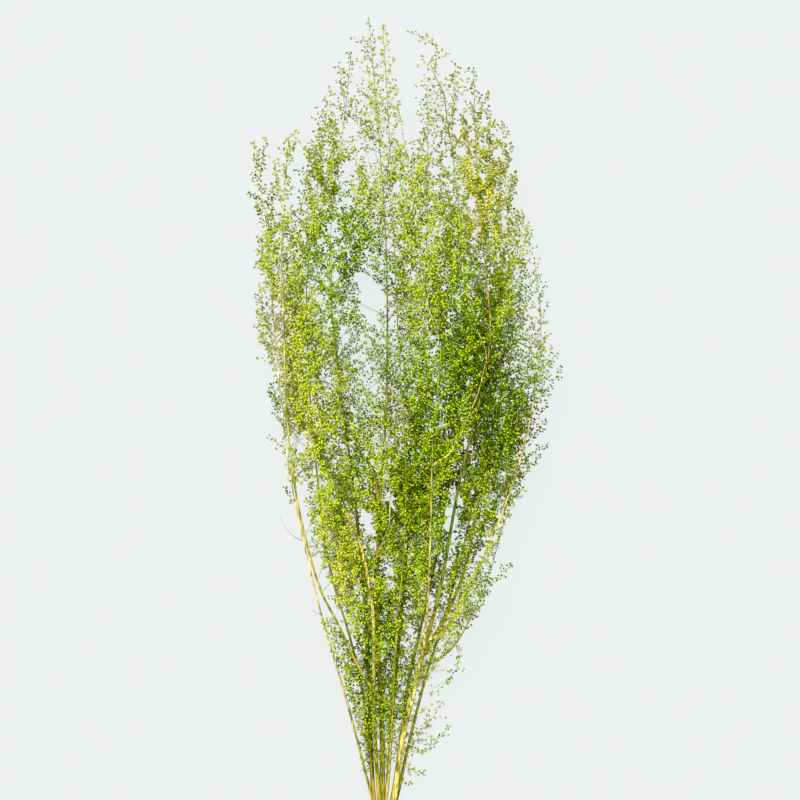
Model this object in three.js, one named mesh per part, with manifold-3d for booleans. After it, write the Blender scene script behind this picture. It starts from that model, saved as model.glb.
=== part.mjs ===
// A gathered bunch of dried sweet wormwood stems, lying on a surface and held by a ribbed band.
// Millimetres, +Z up. The stems run along +Y, from their cut ends to the tips of their plumes.

import * as THREE from 'three';
import { mergeVertices } from 'three/addons/utils/BufferGeometryUtils.js';
import Module from 'manifold-3d';

const wasm = await Module();
wasm.setup();

// Driving dimensions of the bunch
const BUNCH_MIDDLE_HEIGHT = 56;
const BUNCH_HALF_THICKNESS = 45;
const SWELL_LENGTH = 290;
const TIP_Y = 700;
const TIP_MIDDLE_HEIGHT = 46;
const TIP_HALF_THICKNESS = 20;
const TIP_TAPER = 1.5;
const FLOOR_CLEARANCE = 0.35;
const CROWN_DEPTH = 1.35;

// The band and the cut ends that it gathers
const BAND_INNER_RADIUS = 10.3;
const BAND_VALLEY_RADIUS = 11.7;
const BAND_CREST_RADIUS = 12.5;
const BAND_FLAT_DEPTH = 1.1;
const BAND_WIDTH = 10;
const BAND_TURNS = 4;
const BAND_SEGMENTS = 18;
const BAND_HEIGHT = BAND_CREST_RADIUS - BAND_FLAT_DEPTH;
const CUT_END_Y = -62;
const CUT_END_RAGGED = 8;
const CUT_END_SPREAD = 1.12;

// Limbs and side branches. Branches are full length from SPIRE_LENGTH below a limb's tip, and they
// stand closer together above SPARSE_UNTIL, over the next THICKENS_OVER. TIP_GAP thins them out.
const LIMB_TAPER = 1.6;
const GOLDEN_ANGLE = 2.39996;
const TURN_JITTER = 1.2;
const BRANCH_LONGEST = 72;
const BRANCH_SHORTEST = 4;
const BRANCH_VIGOUR = [0.65, 1.25];
const BRANCH_BEND = [0.6, 1.45];
const BRANCH_LEAN = [0.95, 0.42];
const BRANCH_FLATNESS = 0.75;
const BRANCH_RADIUS = 0.6;
const BRANCH_SPACING = [12, 6];
const TIP_GAP = 24;
const SPIRE_LENGTH = 200;
const SPIRE_POWER = 1.7;
const SPARSE_UNTIL = 180;
const THICKENS_OVER = 150;

// Twigs and flower heads
const TWIG_SPACING = 5.5;
const TWIG_FREE_SHARE = 0.15;
const TWIG_LENGTH = [7, 16];
const TWIG_SHRINK = [1.15, 0.55];
const TWIG_KEPT_EVERY = 24;
const TWIG_LEAN = [0.85];
const TWIG_RADIUS = 0.42;
const HEAD_RADIUS = 1.08;
const HEAD_LENGTH = 2.3;
const ROOT_SHARE = 0.6;
const SHORTEST_SHOOT = 2 * HEAD_LENGTH;

// The turns and shares of its length at which a shoot is tried, until it keeps inside the bunch
const SHOOT_TRIES = [[0, 1], [Math.PI, 1], [0, 0.6], [Math.PI, 0.6], [0, 0.35]];
const CLEAR_SHARES = [1, 0.8, 0.6, 0.4];

// Room among the seeds for a stem's limbs and a limb's branches, and what each number from noise()
// is for, so that no two choices share one
const LIMBS_A_STEM = 16;
const BRANCHES_A_LIMB = 64;
const VIGOUR_KEY = 1;
const TURN_KEY = 2;
const TWIG_KEY = 3;
const CUT_KEY = 7;
const BEND_KEY = 9;

// How finely the solids are made, and how clear they keep of each other
const TRUNK_SIDES = 6;
const FORK_SIDES = 4;
const SHOOT_SIDES = 3;
const LONGEST_STRETCH = 60;
const SMALLEST_STEP = 0.06;
const SAME_POINT = 1e-5;
const NEIGHBOUR_GAP = 0.45;

// The bunch's outline from above: [y, left x, right x]
const OUTLINE = [
  [34, -16, 36], [80, -23, 64], [120, -34, 50], [160, -44, 66], [205, -55, 88], [268, -70, 106],
  [331, -84, 130], [395, -104, 147], [459, -110, 140], [523, -108, 124], [565, -116, 115],
  [608, -108, 108], [640, -52, 92], [671, -40, 62], [705, -24, 40],
];

// Gaps that show the ground through the bunch: [x, y, half width, half length]
const WINDOWS = [
  [-13, 463, 9, 22], [-31, 425, 5, 11], [20, 634, 6.5, 50], [-73, 340, 8, 7],
  [-71, 280, 6, 24], [-12, 270, 3.5, 8], [2, 344, 4.5, 5], [59, 272, 5, 28],
];

// Every stem: its radius at the band and at its tip, its seat inside the band as [x, z] from the
// band's middle, how far along it the side branches start, and its way through the bunch as
// [x, y, depth], where depth runs from -1 at the underside to 1 on top. A fork starts on the trunk
// or on an earlier fork, at the y that it names. A spray is a side branch with a way of its own.
const STEMS = [
  {
    name: 'stem_left_outer', radii: [1.3, 0.5], seat: [-6.7, 0], leafyFrom: 360,
    way: [[-11, 34, 0.2], [-32, 119, 0.3], [-51, 187, 0.3], [-67, 255, 0.2], [-81, 327, 0.1],
      [-93, 442, 0], [-99, 518, 0.2], [-109, 592, 0.3]],
    forks: [],
    sprays: [
      { limb: 0, from: 283, way: [[-77, 291, 0.3], [-83, 300, 0.35]] },
      { limb: 0, from: 330, way: [[-88, 337, 0.15], [-97, 342, 0.2]] },
      { limb: 0, from: 425, way: [[-99, 441, 0.05], [-107, 459, 0.1]] },
      { limb: 0, from: 540, way: [[-107, 547, 0.2], [-113, 549, 0.25]] },
      { limb: 0, from: 560, way: [[-102, 575, 0.35], [-99, 595, 0.4]] },
    ],
  },
  {
    name: 'stem_left_inner', radii: [1.7, 0.5], seat: [-6, 3.4], leafyFrom: 130,
    way: [[-9, 42, 0.35], [-13, 85, 0.1], [-19, 128, -0.2], [-29, 170, -0.55], [-48, 238, -0.8],
      [-61, 348, -0.85], [-66, 442, -0.75], [-64, 493, -0.6], [-52, 586, -0.3], [-46, 640, -0.1]],
    forks: [],
    sprays: [
      { limb: 0, from: 160, way: [[-34, 168, -0.4], [-41, 177, -0.35]] },
      { limb: 0, from: 555, way: [[-58, 576, -0.3], [-61, 595, -0.25]] },
      { limb: 0, from: 575, way: [[-54, 590, -0.15], [-54, 604, -0.1]] },
    ],
  },
  {
    name: 'stem_centre_left', radii: [2.4, 0.5], seat: [-5.1, -3.9], leafyFrom: 230,
    way: [[-9, 34, -0.45], [-11, 85, -0.4], [-14, 170, -0.35], [-23, 280, -0.3], [-35, 374, -0.2],
      [-45, 476, 0], [-42, 544, 0.1], [-34, 604, 0.2], [-27, 668, 0.2]],
    forks: [],
    sprays: [
      { limb: 0, from: 620, way: [[-35, 640, 0.3], [-37, 659, 0.35]] },
    ],
  },
  {
    name: 'stem_snapped', radii: [2.1, 1.2], seat: [-2, 4.3], leafyFrom: 150,
    way: [[-4, 34, 0.6], [-7, 85, 0.7], [-8, 136, 0.6], [-8, 187, 0.5], [-12, 221, 0.55],
      [-17, 246, 0.6], [-24, 268, 0.62], [-32, 281, 0.65]],
    forks: [],
    sprays: [],
  },
  {
    name: 'stem_centre', radii: [3.1, 0.5], seat: [0, -0.8], leafyFrom: 190,
    way: [[-1, 34, -0.1], [-1, 85, 0], [-4, 153, 0], [-5, 221, 0.1], [-3, 280, 0.2],
      [3, 374, 0.3], [3, 493, 0.4], [-4, 604, 0.4], [-12, 697, 0.3]],
    forks: [
      { limb: 0, radii: [1.9, 0.5], from: 283, leafyFrom: 35,
        way: [[-9, 316, 0.4], [-20, 330, 0.5], [-32, 340, 0.6], [-43, 353, 0.65], [-52, 367, 0.7],
          [-60, 385, 0.7], [-66, 410, 0.75], [-68, 432, 0.8]] },
      { limb: 0, radii: [0.9, 0.4], from: 243, leafyFrom: 60,
        way: [[0, 255, 0.35], [5, 268, 0.5], [6, 290, 0.6], [5, 315, 0.65], [2, 334, 0.65],
          [-2, 366, 0.7]] },
      { limb: 1, radii: [0.9, 0.4], from: 345, leafyFrom: 10,
        way: [[-36, 368, 0.7], [-38, 400, 0.8], [-42, 440, 0.8], [-43, 490, 0.75]] },
    ],
    sprays: [
      { limb: 0, from: 655, way: [[-13, 668, 0.35], [-18, 678, 0.35]] },
    ],
  },
  {
    name: 'stem_centre_right', radii: [1.6, 0.5], seat: [1.6, 6.2], leafyFrom: 130,
    way: [[3, 34, 0.75], [7, 85, 0.75], [11, 170, 0.75], [18, 255, 0.75], [19, 323, 0.75],
      [13, 425, 0.8], [11, 476, 0.8], [6, 586, 0.8], [0, 690, 0.6]],
    forks: [],
    sprays: [],
  },
  {
    name: 'stem_back_centre', radii: [2.1, 0.5], seat: [-0.8, -6.4], leafyFrom: 150,
    way: [[3, 34, -0.85], [8, 102, -0.8], [14, 170, -0.8], [26, 306, -0.8], [35, 434, -0.6],
      [38, 552, -0.4], [38, 642, -0.3]],
    forks: [],
    sprays: [],
  },
  {
    name: 'stem_back_right', radii: [2.3, 0.5], seat: [3.9, -5.2], leafyFrom: 170,
    way: [[9, 34, -0.6], [16, 85, -0.55], [23, 136, -0.5], [47, 246, -0.7], [65, 366, -0.75],
      [71, 442, -0.7], [67, 518, -0.6], [60, 582, -0.45], [59, 622, -0.4]],
    forks: [
      { limb: 0, radii: [0.9, 0.45], from: 582, leafyFrom: 8,
        way: [[54, 616, -0.1], [52, 634, 0.1], [45, 647, 0.2], [40, 661, 0.3], [46, 670, 0.35],
          [40, 678, 0.4], [22, 686, 0.4]] },
    ],
    sprays: [
      { limb: 0, from: 610, way: [[61, 640, -0.4], [62, 661, -0.35]] },
    ],
  },
  {
    name: 'stem_right_main', radii: [3.2, 0.6], seat: [5.7, 2.9], leafyFrom: 250,
    way: [[10, 34, 0.45], [17, 85, 0.45], [25, 119, 0.45], [32, 150, 0.4], [37, 170, 0.3],
      [49, 217, 0.2], [65, 306, 0.1], [82, 374, 0], [91, 430, 0], [86, 493, 0.05],
      [79, 578, 0.2], [77, 655, 0.2]],
    forks: [
      { limb: 0, radii: [1.3, 0.5], from: 103, leafyFrom: 150,
        way: [[12, 112, 1.3], [-6, 127, 1.5], [-22, 153, 1.25], [-38, 187, 0.9], [-54, 221, 0.8],
          [-71, 289, 0.7], [-80, 360, 0.6], [-83, 442, 0.6], [-85, 493, 0.6], [-80, 592, 0.6]] },
      { limb: 0, radii: [1.1, 0.5], from: 146, leafyFrom: 60,
        way: [[36, 180, 0.65], [39, 238, 0.8], [42, 348, 0.9], [48, 416, 0.9], [35, 463, 0.85],
          [25, 544, 0.75], [13, 622, 0.6]] },
      { limb: 0, radii: [1.7, 0.5], from: 153, leafyFrom: 110,
        way: [[48, 180, 0.1], [67, 221, -0.15], [77, 264, -0.3], [93, 348, -0.35],
          [109, 408, -0.35], [110, 476, -0.3], [104, 561, -0.1], [101, 610, 0]] },
      { limb: 0, radii: [1.5, 0.5], from: 162, leafyFrom: 110,
        way: [[54, 180, 0.3], [78, 227, 0.35], [104, 289, 0.3], [122, 348, 0.25],
          [132, 410, 0.2], [133, 450, 0.2], [128, 493, 0.25]] },
      { limb: 0, radii: [1, 0.45], from: 139, leafyFrom: 15,
        way: [[51, 157, 0.6], [65, 174, 0.75], [85, 217, 0.8], [99, 264, 0.75], [109, 292, 0.7]] },
      { limb: 0, radii: [0.8, 0.45], from: 68, leafyFrom: 6,
        way: [[26, 72, 0.55], [37, 73, 0.5], [47, 82, 0.45], [57, 93, 0.4]] },
      { limb: 2, radii: [0.65, 0.35], from: 316, leafyFrom: 150,
        way: [[47, 324, 0.95], [54, 328, 1], [64, 344, 1.08], [71, 361, 1.1], [79, 380, 1.12],
          [84, 400, 1.12], [86, 409, 1.1], [84, 419, 1.08], [79, 431, 1.05]] },
    ],
    sprays: [
      { limb: 0, from: 99, way: [[29, 105, 0.55], [36, 110, 0.5]] },
      { limb: 0, from: 56, way: [[20, 58, 0.6], [27, 55, 0.6], [35, 51, 0.5]] },
      { limb: 0, from: 600, way: [[83, 620, 0.3], [89, 634, 0.35]] },
      { limb: 1, from: 570, way: [[-76, 585, 0.65], [-73, 600, 0.7]] },
      { limb: 3, from: 480, way: [[117, 500, -0.1], [122, 520, 0]] },
      { limb: 3, from: 530, way: [[109, 550, 0], [113, 568, 0.05]] },
      { limb: 3, from: 560, way: [[106, 578, -0.05], [109, 592, 0]] },
      { limb: 4, from: 286, way: [[110, 293, 0.4], [117, 300, 0.45]] },
      { limb: 4, from: 303, way: [[117, 310, 0.1], [125, 318, 0], [133, 327, -0.1]] },
      { limb: 4, from: 318, way: [[120, 326, 0.3], [128, 331, 0.35], [138, 337, 0.4]] },
      { limb: 4, from: 335, way: [[126, 342, 0.15], [132, 349, 0.1], [137, 357, 0.05]] },
      { limb: 4, from: 370, way: [[134, 378, 0.3], [141, 386, 0.35], [150, 401, 0.45]] },
      { limb: 4, from: 394, way: [[140, 404, 0.2], [147, 413, 0.2]] },
      { limb: 5, from: 166, way: [[65, 157, 0.75], [63, 147, 0.75], [54, 134, 0.75],
        [42, 123, 0.8]] },
      { limb: 5, from: 186, way: [[79, 196, 0.7], [87, 212, 0.6]] },
      { limb: 5, from: 213, way: [[93, 222, 0.85], [106, 237, 0.75]] },
    ],
  },
  {
    name: 'stem_right_back', radii: [1.8, 0.5], seat: [7.4, -2.3], leafyFrom: 170,
    way: [[13, 34, -0.25], [24, 85, -0.25], [37, 136, -0.3], [62, 220, -0.6], [78, 289, -0.7],
      [95, 380, -0.7], [100, 442, -0.65], [95, 520, -0.4], [89, 600, -0.3]],
    forks: [],
    sprays: [
      { limb: 0, from: 580, way: [[91, 604, -0.25], [90, 624, -0.2]] },
    ],
  },
];

const BARK = new THREE.MeshStandardMaterial({ color: 0x8f9a3a, roughness: 0.8, metalness: 0 });
const RUBBER = new THREE.MeshStandardMaterial({ color: 0xb9a27a, roughness: 0.7, metalness: 0 });
const UP = new THREE.Vector3(0, 0, 1);

// A number from 0 to 1 that depends on nothing but the whole numbers it is given.
function noise(...keys) {
  let hash = 2166136261;
  for (const key of keys) {
    hash = Math.imul(hash ^ key, 16777619);
    hash ^= hash >>> 13;
    hash = Math.imul(hash, 1540483477);
    hash ^= hash >>> 15;
  }
  return (hash >>> 0) / 4294967296;
}

function mix(a, b, t) {
  return a + (b - a) * t;
}

// Height above the surface of a point at y, with depth from -1 at the underside to 1 on top.
function heightAt(y, depth) {
  const swell = 0.5 - 0.5 * Math.cos(THREE.MathUtils.clamp(y / SWELL_LENGTH, 0, 1) * Math.PI);
  const pastSwell = THREE.MathUtils.clamp((y - SWELL_LENGTH) / (TIP_Y - SWELL_LENGTH), 0, 1);
  const taper = pastSwell ** TIP_TAPER;
  const middle = mix(mix(BAND_HEIGHT, BUNCH_MIDDLE_HEIGHT, swell), TIP_MIDDLE_HEIGHT, taper);
  const half = mix(mix(BAND_INNER_RADIUS, BUNCH_HALF_THICKNESS, swell), TIP_HALF_THICKNESS, taper);
  return middle + half * depth;
}

function edgesAt(y) {
  const next = OUTLINE.findIndex((row) => row[0] > y);
  if (next < 1) {
    return null;
  }
  const [a, b] = [OUTLINE[next - 1], OUTLINE[next]];
  const t = (y - a[0]) / (b[0] - a[0]);
  return [mix(a[1], b[1], t), mix(a[2], b[2], t)];
}

// True inside the bunch's outline, under its crown and outside its windows.
function isInside(point) {
  const edges = edgesAt(point.y);
  if (!edges || point.x < edges[0] || point.x > edges[1]) {
    return false;
  }
  if (point.z > heightAt(point.y, CROWN_DEPTH)) {
    return false;
  }
  return WINDOWS.every(([x, y, halfWidth, halfLength]) =>
    ((point.x - x) / halfWidth) ** 2 + ((point.y - y) / halfLength) ** 2 > 1);
}

// A limb is a main stem or a fork. It follows a smooth curve through its waypoints, in straight
// stretches that meet at the waypoints and in the middle of the long ones.
function makeLimb(seed, waypoints, radii, leafyFrom) {
  const curve = new THREE.CatmullRomCurve3(waypoints, false, 'catmullrom', 0.5);
  const path = [waypoints[0]];
  waypoints.slice(1).forEach((point, i) => {
    if (point.distanceTo(waypoints[i]) > LONGEST_STRETCH) {
      path.push(curve.getPoint((i + 0.5) / (waypoints.length - 1)));
    }
    path.push(point);
  });
  const marks = [0];
  path.slice(1).forEach((point, i) => marks.push(marks[i] + point.distanceTo(path[i])));
  return { seed, path, marks, length: marks[marks.length - 1], radii, leafyFrom };
}

function stretchAt(limb, distance) {
  const next = limb.marks.findIndex((mark) => mark > distance);
  return next < 1 ? limb.path.length - 1 : next;
}

function pointAlong(limb, distance) {
  const end = stretchAt(limb, distance);
  const share = (distance - limb.marks[end - 1]) / (limb.marks[end] - limb.marks[end - 1]);
  return limb.path[end - 1].clone().lerp(limb.path[end], share);
}

function directionAlong(limb, distance) {
  const end = stretchAt(limb, distance);
  return limb.path[end].clone().sub(limb.path[end - 1]).normalize();
}

function pointAtY(limb, y) {
  const end = limb.path.findIndex((point) => point.y > y);
  const [a, b] = [limb.path[end - 1], limb.path[end]];
  return a.clone().lerp(b, (y - a.y) / (b.y - a.y));
}

function radiusAlong(limb, distance) {
  const [foot, tip] = limb.radii;
  return mix(tip, foot, (1 - distance / limb.length) ** LIMB_TAPER);
}

function toPoints(way) {
  return way.map(([x, y, depth]) => new THREE.Vector3(x, y, heightAt(y, depth)));
}

function limbsOf(stem, stemIndex) {
  const seatHeight = BAND_HEIGHT + stem.seat[1];
  const points = [
    new THREE.Vector3(stem.seat[0] * CUT_END_SPREAD,
      CUT_END_Y - CUT_END_RAGGED * noise(stemIndex, CUT_KEY),
      BAND_HEIGHT + stem.seat[1] * CUT_END_SPREAD),
    new THREE.Vector3(stem.seat[0], -BAND_WIDTH, seatHeight),
    new THREE.Vector3(stem.seat[0], BAND_WIDTH, seatHeight),
    ...toPoints(stem.way),
  ];
  const limbs = [makeLimb(stemIndex * LIMBS_A_STEM, points, stem.radii, stem.leafyFrom)];
  for (const fork of stem.forks) {
    const way = [pointAtY(limbs[fork.limb], fork.from), ...toPoints(fork.way)];
    limbs.push(makeLimb(stemIndex * LIMBS_A_STEM + limbs.length, way, fork.radii, fork.leafyFrom));
  }
  return limbs;
}

function spraysOf(stem, stemIndex, limbs) {
  return stem.sprays.map((spray, index) => ({
    seed: stemIndex * LIMBS_A_STEM + index,
    path: [pointAtY(limbs[spray.limb], spray.from), ...toPoints(spray.way)],
    rootRadius: ROOT_SHARE * BRANCH_RADIUS,
    parent: limbs[spray.limb],
  }));
}

// A side shoot leaves its parent sideways and turns up along it, one step for each lean angle.
function shoot(root, heading, turn, length, leans) {
  const across = new THREE.Vector3().crossVectors(heading, UP).normalize();
  const over = new THREE.Vector3().crossVectors(across, heading);
  const side = across.multiplyScalar(Math.cos(turn));
  side.addScaledVector(over, Math.sin(turn) * BRANCH_FLATNESS);
  const path = [root];
  for (const lean of leans) {
    const step = heading.clone().multiplyScalar(Math.cos(lean));
    step.addScaledVector(side, Math.sin(lean)).setLength(length / leans.length);
    const next = path[path.length - 1].clone().add(step);
    next.z = Math.max(next.z, FLOOR_CLEARANCE);
    path.push(next);
  }
  return path;
}

// The first of a few turns and lengths of a shoot that keeps inside the bunch.
function shootInside(root, heading, turn, length, leans) {
  for (const [extraTurn, share] of SHOOT_TRIES) {
    const path = shoot(root, heading, turn + extraTurn, length * share, leans);
    if (path.slice(1).every(isInside)) {
      return path;
    }
  }
  return null;
}

// The side branches that grow from a limb: long at its foot and short towards its tip.
function branchesOf(limb) {
  const branches = [];
  let distance = limb.leafyFrom;
  for (let index = 0; distance < limb.length - HEAD_LENGTH; index += 1) {
    const fullness = Math.min(1, (limb.length - distance) / SPIRE_LENGTH) ** SPIRE_POWER;
    const vigour = mix(...BRANCH_VIGOUR, noise(limb.seed, index, VIGOUR_KEY));
    const length = mix(BRANCH_SHORTEST, BRANCH_LONGEST, fullness) * vigour;
    const jitter = TURN_JITTER * (noise(limb.seed, index, TURN_KEY) - 0.5);
    const bend = mix(...BRANCH_BEND, noise(limb.seed, index, BEND_KEY));
    const leans = BRANCH_LEAN.map((lean) => lean * bend);
    const root = pointAlong(limb, distance);
    const heading = directionAlong(limb, distance);
    const path = shootInside(root, heading, index * GOLDEN_ANGLE + jitter, length, leans);
    if (path) {
      const rootRadius = Math.min(BRANCH_RADIUS, ROOT_SHARE * radiusAlong(limb, distance));
      branches.push({ seed: limb.seed * BRANCHES_A_LIMB + index, path, rootRadius, parent: limb });
    }
    const thickness = THREE.MathUtils.clamp((root.y - SPARSE_UNTIL) / THICKENS_OVER, 0, 1);
    distance += mix(...BRANCH_SPACING, thickness);
  }
  return branches;
}

// How far out in the bunch a point lies, with 0 in its middle and 1 at its edge.
function outwardness(point) {
  const [left, right] = edgesAt(point.y);
  const middle = heightAt(point.y, 0);
  const across = (2 * point.x - left - right) / (right - left);
  return Math.hypot(across, (point.z - middle) / (heightAt(point.y, 1) - middle));
}

// The twigs of a side branch, each with a flower head at its tip.
function twigsOf(branch) {
  const twigs = [];
  const steps = branch.path.length - 1;
  const branchLength = steps * branch.path[0].distanceTo(branch.path[1]);
  const first = 1 + Math.floor(TWIG_FREE_SHARE * branchLength / TWIG_SPACING);
  for (let index = first; index * TWIG_SPACING < branchLength; index += 1) {
    const share = index * TWIG_SPACING / branchLength;
    const piece = Math.min(Math.floor(share * steps), steps - 1);
    const [from, to] = branch.path.slice(piece, piece + 2);
    const root = from.clone().lerp(to, share * steps - piece);
    const heading = to.clone().sub(from).normalize();
    const vigour = mix(...TWIG_LENGTH, noise(branch.seed, index, TWIG_KEY));
    const length = vigour * mix(...TWIG_SHRINK, share);
    const path = shootInside(root, heading, index * GOLDEN_ANGLE, length, TWIG_LEAN);
    if (path && (index + branch.seed) % TWIG_KEPT_EVERY === 0) {
      twigs.push({ path, parent: branch });
    }
  }
  return twigs;
}

// Merges a geometry's shared corners and makes it a solid that can be joined and cut.
function toSolid(geometry) {
  geometry.deleteAttribute('normal');
  geometry.deleteAttribute('uv');
  const merged = mergeVertices(geometry, SAME_POINT);
  const corners = merged.index.array;
  const triangles = [];
  for (let i = 0; i < corners.length; i += 3) {
    const [a, b, c] = corners.slice(i, i + 3);
    if (a !== b && b !== c && c !== a) {
      triangles.push(a, b, c);
    }
  }
  return new wasm.Manifold(new wasm.Mesh({
    numProp: 3,
    vertProperties: new Float32Array(merged.attributes.position.array),
    triVerts: new Uint32Array(triangles),
  }));
}

function toMesh(name, solid, material) {
  const { vertProperties, triVerts } = solid.getMesh();
  const geometry = new THREE.BufferGeometry();
  geometry.setAttribute('position', new THREE.BufferAttribute(vertProperties, 3));
  geometry.setIndex(new THREE.BufferAttribute(triVerts, 1));
  const mesh = new THREE.Mesh(geometry, material);
  mesh.name = name;
  return mesh;
}

// A round solid of the given radii, one for each point, bent to run through the points.
function bentRound(points, radii, sides) {
  const last = points.length - 1;
  const profile = [new THREE.Vector2(0, 0)];
  radii.forEach((radius, ring) => profile.push(new THREE.Vector2(radius, ring)));
  if (radii[last] > 0) {
    profile.push(new THREE.Vector2(0, last));
  }
  const geometry = new THREE.LatheGeometry(profile, sides);
  const position = geometry.attributes.position;
  const rings = [];
  let normal = new THREE.Vector3(1, 0, 0);
  points.forEach((centre, ring) => {
    const before = points[Math.max(ring - 1, 0)];
    const after = points[Math.min(ring + 1, last)];
    const tangent = after.clone().sub(before).normalize();
    normal = normal.clone().addScaledVector(tangent, -normal.dot(tangent)).normalize();
    rings.push({ centre, normal, binormal: new THREE.Vector3().crossVectors(normal, tangent) });
  });
  for (let i = 0; i < position.count; i += 1) {
    const { centre, normal: side, binormal } = rings[Math.round(position.getY(i))];
    const placed = centre.clone().addScaledVector(side, position.getX(i));
    placed.addScaledVector(binormal, position.getZ(i));
    position.setXYZ(i, placed.x, placed.y, placed.z);
  }
  return toSolid(geometry);
}

function limbSolid(limb, sides) {
  const radii = limb.marks.map((mark) => radiusAlong(limb, mark));
  return bentRound(limb.path, radii, sides);
}

// A side branch is thin to just before its tip, where it swells into a flower head.
function branchSolid(path, rootRadius) {
  const tip = path[path.length - 1];
  const back = path[path.length - 2].clone().sub(tip).setLength(HEAD_LENGTH);
  const neck = tip.clone().add(back);
  const belly = tip.clone().addScaledVector(back, 0.5);
  const middle = path.slice(1, -1);
  const radii = [rootRadius, ...middle.map(() => BRANCH_RADIUS), TWIG_RADIUS, HEAD_RADIUS, 0];
  return bentRound([path[0], ...middle, neck, belly, tip], radii, SHOOT_SIDES);
}

// A twig is a short stalk that widens into its flower head.
function twigSolid([root, tip]) {
  const belly = tip.clone().add(root.clone().sub(tip).setLength(HEAD_LENGTH / 2));
  return bentRound([root, belly, tip], [TWIG_RADIUS * ROOT_SHARE, HEAD_RADIUS, 0], SHOOT_SIDES);
}

// Every stretch that already stands, so that what grows next keeps clear of all but its parent.
const standing = [];

function stretchesOf(path, radius, owner) {
  return path.slice(1).map((end, i) => ({ line: new THREE.Line3(path[i], end), radius, owner }));
}

function standsClear(stretches, parent) {
  return stretches.every(({ line, radius }) => standing.every((other) => {
    const gap = radius + other.radius + NEIGHBOUR_GAP;
    return other.owner === parent || line.distanceSqToLine3(other.line) > gap * gap;
  }));
}

// Keeps a shoot at its full length, or shorter where a neighbour is in its way, if it fits at all.
function growClear(growth, radius) {
  for (const share of CLEAR_SHARES) {
    const path = growth.path.map((point) => growth.path[0].clone().lerp(point, share));
    const stretches = stretchesOf(path, radius, growth);
    if (path[0].distanceTo(path[path.length - 1]) < SHORTEST_SHOOT) {
      return false;
    }
    if (standsClear(stretches, growth.parent)) {
      growth.path = path;
      standing.push(...stretches);
      return true;
    }
  }
  return false;
}

function bandSolid() {
  const turnWidth = BAND_WIDTH / BAND_TURNS;
  const profile = [new THREE.Vector2(BAND_INNER_RADIUS, -BAND_WIDTH / 2)];
  for (let turn = 0; turn < BAND_TURNS; turn += 1) {
    const start = turn * turnWidth - BAND_WIDTH / 2;
    profile.push(new THREE.Vector2(BAND_VALLEY_RADIUS, start));
    profile.push(new THREE.Vector2(BAND_CREST_RADIUS, start + turnWidth / 2));
  }
  profile.push(new THREE.Vector2(BAND_VALLEY_RADIUS, BAND_WIDTH / 2));
  profile.push(new THREE.Vector2(BAND_INNER_RADIUS, BAND_WIDTH / 2), profile[0]);
  const geometry = new THREE.LatheGeometry(profile, BAND_SEGMENTS);
  geometry.translate(0, 0, BAND_HEIGHT);
  return toSolid(geometry);
}

function biggestPiece(solid) {
  const pieces = solid.decompose();
  return pieces.reduce((best, piece) => (piece.volume() > best.volume() ? piece : best));
}

// The sprays and side branches that stand clear and whose tips keep TIP_GAP from each other. The
// ones that reach furthest out are chosen first, so that the solids fill the bunch to its edges.
function growBranches(sprays, branches) {
  const tip = ({ path }) => path[path.length - 1];
  const reach = new Map(branches.map((branch) => [branch, outwardness(tip(branch))]));
  const grown = sprays.filter((spray) => growClear(spray, BRANCH_RADIUS));
  for (const branch of branches.sort((a, b) => reach.get(b) - reach.get(a))) {
    const isFree = grown.every((other) => tip(other).distanceTo(tip(branch)) > TIP_GAP);
    if (isFree && growClear(branch, BRANCH_RADIUS)) {
      grown.push(branch);
    }
  }
  return grown;
}

// Grows all the limbs, then the sprays and side branches, and then the twigs.
function growStems() {
  const stems = STEMS.map((stem, index) => ({ name: stem.name, limbs: limbsOf(stem, index) }));
  const limbs = stems.flatMap((stem) => stem.limbs);
  limbs.forEach((limb) => standing.push(...stretchesOf(limb.path, limb.radii[0], limb)));
  const sprays = stems.flatMap((stem, index) => spraysOf(STEMS[index], index, stem.limbs));
  const branches = growBranches(sprays, limbs.flatMap(branchesOf));
  const twigs = branches.flatMap(twigsOf).filter((twig) => growClear(twig, HEAD_RADIUS));
  for (const stem of stems) {
    stem.branches = branches.filter((branch) => stem.limbs.includes(branch.parent));
    stem.twigs = twigs.filter((twig) => stem.branches.includes(twig.parent));
  }
  return stems;
}

// One stem's limbs, branches and twigs as a single solid, pressed flat where it meets the surface.
function stemSolid(stem) {
  const [trunk, ...forks] = stem.limbs;
  const solids = [
    limbSolid(trunk, TRUNK_SIDES),
    ...forks.map((fork) => limbSolid(fork, FORK_SIDES)),
    ...stem.branches.map((branch) => branchSolid(branch.path, branch.rootRadius)),
    ...stem.twigs.map((twig) => twigSolid(twig.path)),
  ];
  const joined = wasm.Manifold.union(solids).trimByPlane([0, 0, 1], 0);
  return biggestPiece(joined.simplify(SMALLEST_STEP));
}

function makeBunch() {
  const bunch = new THREE.Group();
  growStems().forEach((stem) => bunch.add(toMesh(stem.name, stemSolid(stem), BARK)));
  bunch.add(toMesh('elastic_band', bandSolid().trimByPlane([0, 0, 1], 0), RUBBER));
  return bunch;
}

// The finished bunch lies on z = 0 with the middle of its box over the origin.
const bunch = makeBunch();
const box = new THREE.Box3().setFromObject(bunch);
bunch.position.set(-(box.min.x + box.max.x) / 2, -(box.min.y + box.max.y) / 2, -box.min.z);

export default bunch;
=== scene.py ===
"""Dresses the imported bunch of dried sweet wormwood: ribbed stems, fine twigs, round heads, thread
leaves and a wound elastic band, on a plain pale floor, seen from straight above."""

import math

import bmesh
import bpy
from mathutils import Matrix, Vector
from mathutils.noise import noise_vector, seed_set


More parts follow.
